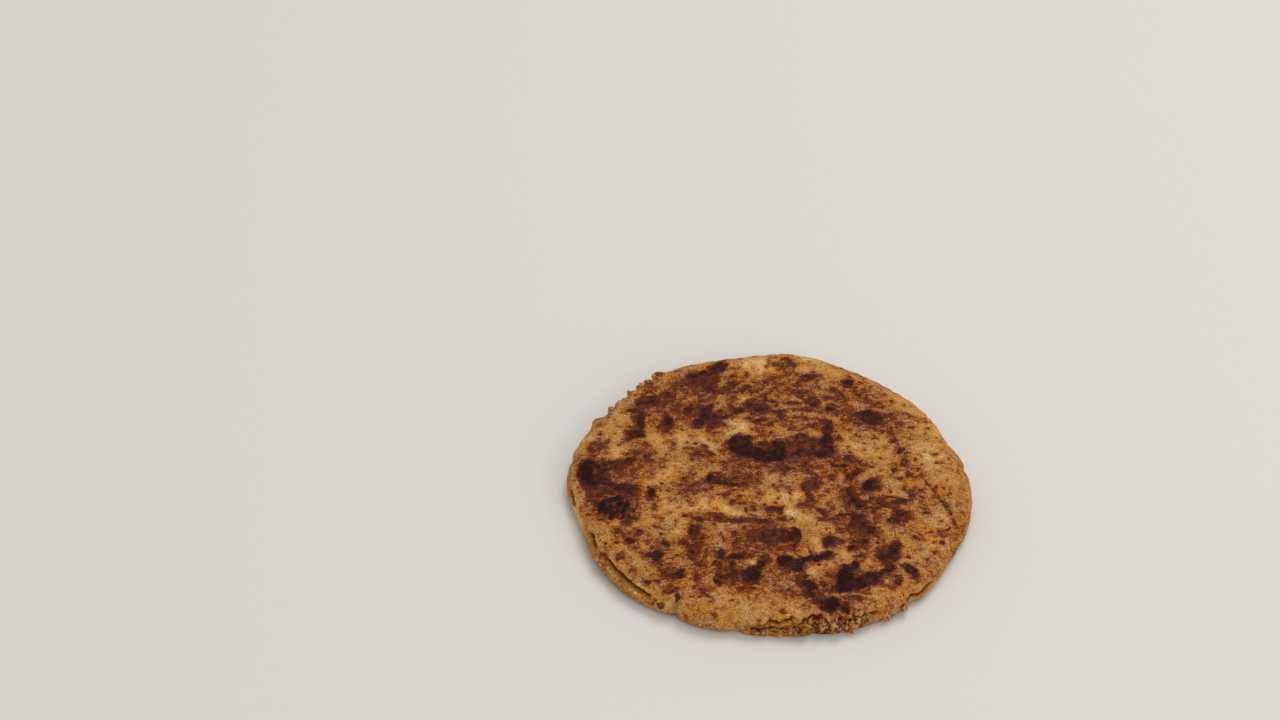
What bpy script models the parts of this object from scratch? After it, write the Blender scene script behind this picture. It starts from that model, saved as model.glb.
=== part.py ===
"""One gordita: a thick, flat wheat bread browned on a griddle, lying on its underside.

The bread is a single solid of dough. Seen from above it is a slightly uneven round, about
141 mm across and 133 mm deep. Its top is nearly flat and its edge is thick and rounded, with
the cracks, nubs and small torn places of hand-pressed dough. The underside is flat.

The script is in metres and +Z is up. The middle of the bread's box is over the origin and its
underside is at z = 0. Sizes below are in millimetres, and angles in degrees are seen from above,
from +X round towards +Y.
"""

import math

import bmesh
import bpy
import numpy as np
from mathutils import Vector, noise

NAME = "gordita"
MM = 0.001

# Outline: the radius every 15 degrees, starting at +X.
OUTLINE_RADII = (
    70.6, 68.1, 68.1, 66.8, 66.3, 67.4, 65.8, 65.2, 67.0, 66.5, 66.9, 69.7,
    70.8, 68.4, 69.6, 69.9, 67.8, 67.1, 66.8, 67.9, 69.3, 69.7, 68.8, 70.4,
)

# Swellings (+) and folds (-) of the outline through the whole thickness: angle, height in mm,
# half width in degrees.
FOLDS = (
    (4.0, -1.2, 1.2),
    (9.0, 0.8, 3.0),
    (82.0, 0.7, 4.0),
    (155.0, 1.0, 2.4),
    (172.2, -1.2, 1.2),
    (239.5, -1.5, 1.2),
    (247.0, 0.7, 5.0),
    (257.5, -1.3, 2.2),
    (280.0, -0.9, 1.6),
    (310.5, -1.2, 1.8),
)

# Torn nubs that stand out from the upper part of the edge, given like the folds.
NUBS = (
    (125.3, 2.5, 1.5),
    (137.3, 1.2, 1.2),
    (143.3, 1.2, 1.2),
    (153.6, 1.4, 1.4),
    (270.0, 1.0, 1.2),
)
NUB_FOOT, NUB_HEAD = 2.0, 5.5

# Heights of the top above the underside.
MIDDLE_THICKNESS = 9.0
EDGE_THICKNESS = 7.9
DOMING_POWER = 3.0

# The edge turns from the top into the side and from the side into the underside.
TOP_ROUNDING = 4.6
BOTTOM_ROUNDING = 3.4
WIDEST_HEIGHT_SHARE = 0.43
ROUNDING_POWER = 2.3

# Unevenness of the top: size of one wave and its height.
WAVES = ((31.0, 0.42), (11.0, 0.20))

# Cracks along the edge: first and last angle, height at each, depth, half width. The dough
# above a crack lies a little further in than the dough below it.
EDGE_CRACKS = (
    (182.0, 191.0, 5.6, 4.6, 0.9, 0.8),
    (201.0, 210.0, 6.6, 5.6, 1.9, 0.8),
    (207.5, 238.0, 6.7, 5.3, 2.6, 0.8),
    (259.0, 271.0, 4.6, 6.3, 1.9, 0.8),
    (273.0, 286.0, 6.6, 6.0, 2.0, 0.8),
    (290.0, 301.0, 5.6, 4.6, 1.5, 0.8),
    (303.0, 322.0, 3.8, 4.6, 1.0, 0.8),
)
CRACK_LIP_INSET = 1.1
CRACK_END_SHARE = 0.3

# The crumbly, torn stretch of the edge: first and last angle, size of a crumb, and how deep
# the hollows between the crumbs go.
CRUMBLY_FROM, CRUMBLY_TO = 255.0, 306.0
CRUMBLY_FADE = 8.0
CRUMB_SIZE = 4.4
CRUMB_DEPTH = 1.9
PLAIN_EDGE_DEPTH = 0.45

# The edge's relief fades out where the edge turns into the top and near the underside.
RELIEF_FULL_OUTWARD = 0.6
RELIEF_FULL_HEIGHT = 2.5

# Creases pressed into the top: the points each one runs through, its depth and half width.
CREASES = (
    (((55.5, -3.5), (58.0, -10.0), (60.5, -16.0), (62.3, -22.5)), 0.75, 1.3),
    (((61.0, 2.5), (65.6, 0.4), (68.5, -3.0)), 0.45, 1.1),
    (((-13.0, 55.0), (-15.0, 49.0), (-17.0, 42.0)), 0.35, 1.4),
    (((1.0, -61.5), (6.0, -60.5), (11.0, -61.5)), 0.60, 1.2),
    (((-32.5, -56.0), (-31.5, -52.0)), 0.60, 1.3),
)

# Low ridges that stand above the top, given like the creases.
RIDGES = (
    (((59.5, -2.0), (62.5, -9.0), (64.5, -16.0), (65.0, -22.0)), 0.50, 2.2),
    (((13.0, 59.5), (33.0, 50.5), (49.0, 37.5), (58.5, 25.0)), 0.35, 2.6),
)

# Mesh: squares along a side of the top, how much closer its rings lie towards the edge, and
# rows of faces from the top round to the underside.
TOP_SQUARES = 54
RING_CROWDING = 0.35
FOLD_FADE_POWER = 8
EDGE_ROWS = 10

CRUST_COLOUR = (0.42, 0.20, 0.065, 1.0)
CRUST_ROUGHNESS = 0.78


def clear_scene():
    for obj in list(bpy.data.objects):
        bpy.data.objects.remove(obj, do_unlink=True)


def smooth_step(low, high, value):
    share = np.clip((value - low) / (high - low), 0.0, 1.0)
    return share * share * (3.0 - 2.0 * share)


def around(values, degrees):
    """A smooth closed curve through values that are spaced evenly round the bread."""
    values = np.asarray(values)
    place = (degrees / 360.0 * len(values)) % len(values)
    index = np.floor(place).astype(int)
    t = place - index
    before, here, after, beyond = (values[(index + k) % len(values)] for k in (-1, 0, 1, 2))
    bend = 2.0 * before - 5.0 * here + 4.0 * after - beyond
    twist = 3.0 * (here - after) + beyond - before
    return here + 0.5 * t * (after - before + t * (bend + t * twist))


def turn_between(degrees, centre):
    """The angle from centre to degrees, from -180 to 180."""
    return (degrees - centre + 180.0) % 360.0 - 180.0


def hump(distance, half_width):
    return np.exp(-((distance / half_width) ** 2))


def stretch(degrees, first, last, fade):
    """1 between two angles, falling to 0 over fade degrees inside either end."""
    into = (degrees - first) % 360.0
    length = (last - first) % 360.0
    inside = smooth_step(0.0, fade, into) * smooth_step(0.0, fade, length - into)
    return np.where(into <= length, inside, 0.0)


def perlin(points, size):
    """Smooth noise from -1 to 1, with waves about size millimetres long."""
    return np.array([noise.noise(Vector(point) / size) for point in points])


def hollows_between_crumbs(points, size):
    """1 in the gaps between rounded lumps of about the given size, and 0 on top of them."""
    gaps = []
    for point in points:
        nearest, _ = noise.voronoi(Vector(point) / size)
        gaps.append(1.0 - (nearest[1] - nearest[0]))
    return np.clip(gaps, 0.0, 1.0) ** 2


def distance_to_line(x, y, corners):
    """Distance in the plane from each point to a line through the corners."""
    best = np.full(x.shape, np.inf)
    for (x0, y0), (x1, y1) in zip(corners, corners[1:]):
        run, rise = x1 - x0, y1 - y0
        share = np.clip(((x - x0) * run + (y - y0) * rise) / (run**2 + rise**2), 0.0, 1.0)
        best = np.minimum(best, np.hypot(x - x0 - share * run, y - y0 - share * rise))
    return best


def bumps_round(degrees, bumps):
    """How far the outline stands out at an angle, from bumps given by angle, height and width."""
    reach = np.zeros_like(degrees)
    for angle, height, half_width in bumps:
        reach = reach + height * hump(turn_between(degrees, angle), half_width)
    return reach


def top_height(x, y, share):
    """Height of the top where share of the way from the middle to the edge has gone."""
    height = MIDDLE_THICKNESS - (MIDDLE_THICKNESS - EDGE_THICKNESS) * share**DOMING_POWER
    flat_points = np.column_stack([x, y, np.zeros_like(x)])
    for size, wave_height in WAVES:
        height = height + wave_height * perlin(flat_points, size)
    for corners, depth, half_width in CREASES:
        height = height - depth * hump(distance_to_line(x, y, corners), half_width)
    for corners, rise, half_width in RIDGES:
        height = height + rise * hump(distance_to_line(x, y, corners), half_width)
    return height


def edge_relief(degrees, radius, height):
    """How far the side of the bread stands out (+) or back (-) from its plain round."""
    turn = np.radians(degrees)
    points = np.column_stack([radius * np.cos(turn), radius * np.sin(turn), height])
    torn = smooth_step(NUB_FOOT, NUB_HEAD, height)
    crumbly = stretch(degrees, CRUMBLY_FROM, CRUMBLY_TO, CRUMBLY_FADE)
    depth = PLAIN_EDGE_DEPTH + (CRUMB_DEPTH - PLAIN_EDGE_DEPTH) * crumbly
    relief = torn * bumps_round(degrees, NUBS) - depth * hollows_between_crumbs(points, CRUMB_SIZE)
    for first, last, first_height, last_height, crack_depth, half_width in EDGE_CRACKS:
        share = ((degrees - first) % 360.0) / ((last - first) % 360.0)
        crack_height = first_height + (last_height - first_height) * np.clip(share, 0.0, 1.0)
        open_here = stretch(degrees, first, last, CRACK_END_SHARE * (last - first))
        relief = relief - crack_depth * open_here * hump(height - crack_height, half_width)
        above = smooth_step(-half_width, half_width, height - crack_height)
        relief = relief - CRACK_LIP_INSET * open_here * above
    return relief


def disc_place(u, v):
    """Share of the radius and angle in degrees of a grid point, square rings made round."""
    share = np.maximum(np.abs(u), np.abs(v))
    wide = np.abs(u) >= np.abs(v)
    safe_u = np.where(wide & (share > 0.0), u, 1.0)
    safe_v = np.where(wide, 1.0, v)
    from_x = 45.0 * v / safe_u + np.where(u < 0.0, 180.0, 0.0)
    from_y = 90.0 - 45.0 * u / safe_v + np.where(v < 0.0, 180.0, 0.0)
    return share, np.where(wide, from_x, from_y) % 360.0


def shape_bread(u, v, row):
    """Millimetre positions of the mesh's points.

    u and v are a point's place on the square grid, from -1 to 1. Row 0 is the top, and the
    rows after it follow the edge down to the underside, whose middle is in the last row too.
    """
    share, degrees = disc_place(u, v)
    share = share + RING_CROWDING * share * (1.0 - share)
    turn = np.radians(degrees)
    plain_radius = around(OUTLINE_RADII, degrees)
    fold = bumps_round(degrees, FOLDS)
    radius = plain_radius + fold
    top_radius = share * (plain_radius - TOP_ROUNDING) + fold * share**FOLD_FADE_POWER
    height = top_height(top_radius * np.cos(turn), top_radius * np.sin(turn), share)

    slope = np.radians(90.0 - 180.0 * row / EDGE_ROWS)
    outward = np.abs(np.cos(slope)) ** (2.0 / ROUNDING_POWER)
    upward = np.abs(np.sin(slope)) ** (2.0 / ROUNDING_POWER)
    widest = WIDEST_HEIGHT_SHARE * height
    upper = slope >= 0.0
    rounding = np.where(upper, TOP_ROUNDING, BOTTOM_ROUNDING)
    side_radius = radius - rounding * (1.0 - outward)
    side_height = widest + np.where(upper, (height - widest) * upward, -widest * upward)
    on_side = smooth_step(0.0, RELIEF_FULL_OUTWARD, outward)
    on_side = on_side * smooth_step(0.0, RELIEF_FULL_HEIGHT, side_height)
    side_radius = side_radius + on_side * edge_relief(degrees, radius, side_height)

    in_edge = row > 0
    reach = np.where(in_edge, share * side_radius, top_radius)
    level = np.where(in_edge, side_height, height)
    return np.column_stack([reach * np.cos(turn), reach * np.sin(turn), level])


def grid_with_edge():
    """A closed mesh to be shaped: a flat grid, rows of faces below its rim, and a base.

    Each row lies one unit below the one before it, so -z tells the rows apart.
    """
    bm = bmesh.new()
    bmesh.ops.create_grid(bm, x_segments=TOP_SQUARES, y_segments=TOP_SQUARES, size=1.0)
    rim = [edge for edge in bm.edges if edge.is_boundary]
    for _ in range(EDGE_ROWS):
        made = bmesh.ops.extrude_edge_only(bm, edges=rim)["geom"]
        corners = [item for item in made if isinstance(item, bmesh.types.BMVert)]
        bmesh.ops.translate(bm, verts=corners, vec=(0.0, 0.0, -1.0))
        rim = [item for item in made if isinstance(item, bmesh.types.BMEdge) and item.is_boundary]
    base = bmesh.ops.edgeloop_fill(bm, edges=rim)["faces"]
    bmesh.ops.poke(bm, faces=base)
    return bm


def browned_crust():
    material = bpy.data.materials.new("browned_crust")
    material.use_nodes = True
    shader = material.node_tree.nodes["Principled BSDF"]
    shader.inputs["Base Color"].default_value = CRUST_COLOUR
    shader.inputs["Roughness"].default_value = CRUST_ROUGHNESS
    shader.inputs["Metallic"].default_value = 0.0
    return material


def make_gordita(collection):
    bm = grid_with_edge()
    grid = np.array([vert.co for vert in bm.verts])
    row = np.round(-grid[:, 2])
    points = shape_bread(grid[:, 0], grid[:, 1], row)
    centre = (points[:, :2].min(axis=0) + points[:, :2].max(axis=0)) / 2.0
    points[:, :2] -= centre
    for vert, point in zip(bm.verts, points):
        vert.co = Vector(point) * MM
    bmesh.ops.recalc_face_normals(bm, faces=bm.faces)

    mesh = bpy.data.meshes.new(NAME)
    bm.to_mesh(mesh)
    bm.free()
    mesh.shade_smooth()
    mesh.set_sharp_from_angle(angle=math.radians(50.0))
    mesh.materials.append(browned_crust())
    bread = bpy.data.objects.new(NAME, mesh)
    collection.objects.link(bread)
    return bread


def main():
    clear_scene()
    collection = bpy.data.collections.new(NAME)
    bpy.context.scene.collection.children.link(collection)
    make_gordita(collection)


main()
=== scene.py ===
"""The looks of one griddled wheat bread: a fine mesh of the same form as the solid, with pits,
crumbs, narrow cracks and scorch marks, on a plain pale floor in soft light.

Sizes are in millimetres and angles in degrees, seen from above, from +X round towards +Y.
"""

import math

import bmesh
import bpy
import numpy as np
from mathutils import Euler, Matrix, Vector, noise


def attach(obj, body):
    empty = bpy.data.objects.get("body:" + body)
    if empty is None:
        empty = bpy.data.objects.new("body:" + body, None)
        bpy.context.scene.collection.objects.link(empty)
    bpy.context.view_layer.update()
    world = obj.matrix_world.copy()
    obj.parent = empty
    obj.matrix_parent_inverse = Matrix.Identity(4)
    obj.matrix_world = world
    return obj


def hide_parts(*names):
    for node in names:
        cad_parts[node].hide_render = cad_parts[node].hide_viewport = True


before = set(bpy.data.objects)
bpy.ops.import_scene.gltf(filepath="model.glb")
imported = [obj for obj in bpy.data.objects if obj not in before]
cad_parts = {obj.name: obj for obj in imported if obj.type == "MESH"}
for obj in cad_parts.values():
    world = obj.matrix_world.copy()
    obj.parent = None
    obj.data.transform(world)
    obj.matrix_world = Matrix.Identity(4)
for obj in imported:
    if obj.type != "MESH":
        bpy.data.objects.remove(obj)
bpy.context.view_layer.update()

NODE = "gordita"
MM = 0.001

# ---------------------------------------------------------------------------- form of the solid

OUTLINE_RADII = (
    70.6, 68.1, 68.1, 66.8, 66.3, 67.4, 65.8, 65.2, 67.0, 66.5, 66.9, 69.7,
    70.8, 68.4, 69.6, 69.9, 67.8, 67.1, 66.8, 67.9, 69.3, 69.7, 68.8, 70.4,
)

# Swellings (+) and folds (-) of the outline: angle, height, half width in degrees.
FOLDS = (
    (4.0, -1.2, 1.2),
    (9.0, 0.8, 3.0),
    (82.0, 0.7, 4.0),
    (155.0, 1.0, 2.4),
    (172.2, -1.2, 1.2),
    (239.5, -1.5, 1.2),
    (247.0, 0.7, 5.0),
    (257.5, -1.3, 2.2),
    (280.0, -0.9, 1.6),
    (310.5, -1.2, 1.8),
)
FOLD_FADE_POWER = 8

# Torn nubs on the upper part of the edge, given like the folds.
NUBS = (
    (125.3, 2.5, 1.5),
    (137.3, 1.2, 1.2),
    (143.3, 1.2, 1.2),
    (153.6, 1.4, 1.4),
    (270.0, 1.0, 1.2),
)
NUB_FOOT, NUB_HEAD = 2.0, 5.5

MIDDLE_THICKNESS = 9.0
EDGE_THICKNESS = 7.9
DOMING_POWER = 3.0
TOP_ROUNDING = 4.6
BOTTOM_ROUNDING = 3.4
WIDEST_HEIGHT_SHARE = 0.43
ROUNDING_POWER = 2.3
WAVES = ((31.0, 0.42), (11.0, 0.20))

# Cracks along the edge: first and last angle, height at each, depth, half width, inset above.
EDGE_CRACKS = (
    (182.0, 191.0, 5.6, 4.6, 0.6, 0.30, 1.1),
    (201.0, 210.0, 6.6, 5.6, 1.9, 0.42, 1.1),
    (207.5, 238.0, 6.7, 5.3, 2.6, 0.45, 1.1),
    (260.0, 273.5, 2.9, 4.8, 1.5, 0.34, 0.3),
    (264.5, 275.5, 5.6, 6.5, 1.6, 0.36, 0.5),
    (274.5, 284.0, 5.8, 6.7, 1.8, 0.36, 0.3),
    (290.0, 301.0, 5.6, 4.6, 1.2, 0.40, 0.3),
    (303.0, 322.0, 3.8, 4.6, 1.0, 0.40, 0.6),
)
CRACK_END_SHARE = 0.3

CRUMBLY_FROM, CRUMBLY_TO = 255.0, 306.0
CRUMBLY_FADE = 8.0
CRUMB_SIZE = 4.4
CRUMB_DEPTH = 1.9
PLAIN_EDGE_DEPTH = 0.45
RELIEF_FULL_OUTWARD = 0.6
RELIEF_FULL_HEIGHT = 2.5

# Creases and ridges of the top: the points each one runs through, depth or rise, half width.
CREASES = (
    (((55.5, -3.5), (58.0, -10.0), (60.5, -16.0), (62.3, -22.5)), 0.75, 1.3),
    (((61.0, 2.5), (65.6, 0.4), (68.5, -3.0)), 0.45, 1.1),
    (((-13.0, 55.0), (-15.0, 49.0), (-17.0, 42.0)), 0.35, 1.4),
    (((1.0, -61.5), (6.0, -60.5), (11.0, -61.5)), 0.60, 1.2),
    (((-32.5, -56.0), (-31.5, -52.0)), 0.60, 1.3),
)
RIDGES = (
    (((59.5, -2.0), (62.5, -9.0), (64.5, -16.0), (65.0, -22.0)), 0.50, 2.2),
    (((13.0, 59.5), (33.0, 50.5), (49.0, 37.5), (58.5, 25.0)), 0.35, 2.6),
)

# ---------------------------------------------------------------------------- the finer mesh

TOP_SQUARES = 228
UNDERSIDE_SQUARES = TOP_SQUARES // 2
RING_CROWDING = 0.12
COLUMN_CROWDING = 14.0
CROWDED_ANGLE = 278.0
EDGE_ROWS = 36

# Relief that is too fine for the solid: size of one bump and its height.
GRAIN = ((5.5, 0.18), (2.4, 0.17), (1.2, 0.11))
GRAIN_CAP = 0.14
EDGE_GRAIN = ((2.2, 0.20), (1.0, 0.12))
EDGE_STREAKS = 0.35
FINE_CRUMBS_FROM, FINE_CRUMBS_TO = 269.0, 299.0
FINE_CRUMB_SIZE = 1.7
FINE_CRUMB_DEPTH = 0.8
FINE_CRUMB_RISE = 0.8
FINE_CRUMB_HEIGHTS = (5.6, 7.4)
CRUMB_GAP_SHARE = 0.30
CHAR_RISE = 0.16
CHAR_LEVELS = (0.6, 0.9)
STREWN_RADIUS = 66.0
PIT_SEED = 5
PIT_COUNT = 420
PIT_RADII = (0.45, 1.0)
PIT_DEPTHS = (0.12, 0.38)
UNDERSIDE_LIFT = 0.22
LIFT_SIZE = 7.0
LIFT_FULL = 0.5

# Painted shade in the gaps, pits and foot of the bread, and painted light on the crumbs' rises: how
# strong, and how high the foot's shade reaches.
GAP_SHADE, RISE_LIGHT = 0.9, 0.4
PIT_SHADE = 0.5
FOOT_SHADE, FOOT_HEIGHT = 0.7, 1.8

# Stretches of the edge with crumbs: first and last angle, lowest and highest place, how many.
CRUMB_STRETCHES = (
    (272.0, 297.0, 1.4, 5.4, 60),
    (284.0, 310.0, 1.5, 4.5, 16),
    (127.0, 151.0, 5.4, 7.2, 16),
    (206.0, 238.0, 4.0, 5.4, 7),
)
CRUMB_SEED = 3
CRUMB_RADII = (0.40, 1.15)
CRUMB_SPREAD = (0.7, 1.2)
CRUMB_LEVELS = (0.24, 0.58)
CRUMB_MOTTLE, CRUMB_MOTTLE_RATE = 0.2, 2.0
CRUMB_SHOWS = 0.25

# Crumbs sit only where the edge is this share of the widest reach, less the margin, or farther out.
SEAT_SHARE, SEAT_MARGIN = 0.9, 3.0

# The crumbs' ragged form: how often it changes over one crumb, and by what share of its size.
CRUMB_RAGGEDNESS = ((1.3, 0.45), (3.1, 0.225))

# Single crumbs and flakes: angle, height, half length along the edge, half thickness outwards,
# half height, level.
FLAKES = (
    (272.9, 6.3, 1.7, 0.8, 0.8, 0.10),
    (213.2, 4.3, 0.6, 0.5, 0.45, 0.08),
    (227.7, 5.0, 0.6, 0.5, 0.45, 0.10),
    (234.8, 5.4, 0.6, 0.5, 0.45, 0.08),
    (270.7, 1.7, 0.6, 0.5, 0.35, 0.08),
    (283.6, 3.2, 0.8, 0.7, 0.70, 0.05),
)

# Thin lines of the top, given like the creases and ridges, with how much darker or paler they are.
# The darker colour is partly the crust's own brown and partly painted shade in the creases and cracks; the
# paler colour is partly painted highlight on the ridges.
THIN_CREASES = (
    (((51.5, 31.0), (55.0, 30.3), (58.2, 28.5)), 0.30, 0.55, 0.22),
    (((37.0, 39.5), (41.0, 37.2), (45.5, 35.6)), 0.22, 0.55, 0.10),
    (((54.5, -2.0), (58.0, -9.5), (60.6, -15.5), (62.2, -21.5)), 0.25, 0.80, 0.22),
    (((-34.2, 9.4), (-32.8, 7.2), (-31.0, 6.4)), 0.25, 0.40, 0.12),
    (((-31.6, 8.6), (-30.2, 5.0), (-27.8, 3.8)), 0.22, 0.40, 0.10),
    (((-36.0, 12.5), (-33.5, 11.0)), 0.22, 0.40, 0.10),
    (((-3.5, 25.5), (-1.0, 22.6)), 0.20, 0.40, 0.12),
    (((2.5, -61.6), (4.4, -63.0), (6.2, -64.0)), 0.80, 0.45, 0.34),
    (((11.8, -61.6), (13.0, -61.9), (14.0, -62.6)), 0.40, 0.40, 0.25),
    (((-37.5, -17.0), (-36.0, -23.0), (-36.6, -29.0)), 0.20, 0.80, 0.03),
)
THIN_RIDGES = (
    (((-13.2, 54.0), (-14.2, 50.0), (-15.2, 46.5)), 0.32, 0.80, -0.20),
    (((-20.6, -24.0), (-20.8, -34.0), (-20.6, -45.0), (-20.8, -54.0)), 0.25, 1.00, -0.08),
    (((-31.5, -18.0), (-31.0, -30.0), (-30.2, -40.0)), 0.12, 1.20, -0.05),
    (((56.6, -3.0), (59.8, -10.0), (62.2, -16.0), (63.4, -21.5)), 0.25, 1.10, -0.12),
    (((-12.0, -40.6), (-8.6, -40.2), (-5.8, -41.6)), 0.20, 0.80, -0.12),
)

# ---------------------------------------------------------------------------- scorch marks

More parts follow.
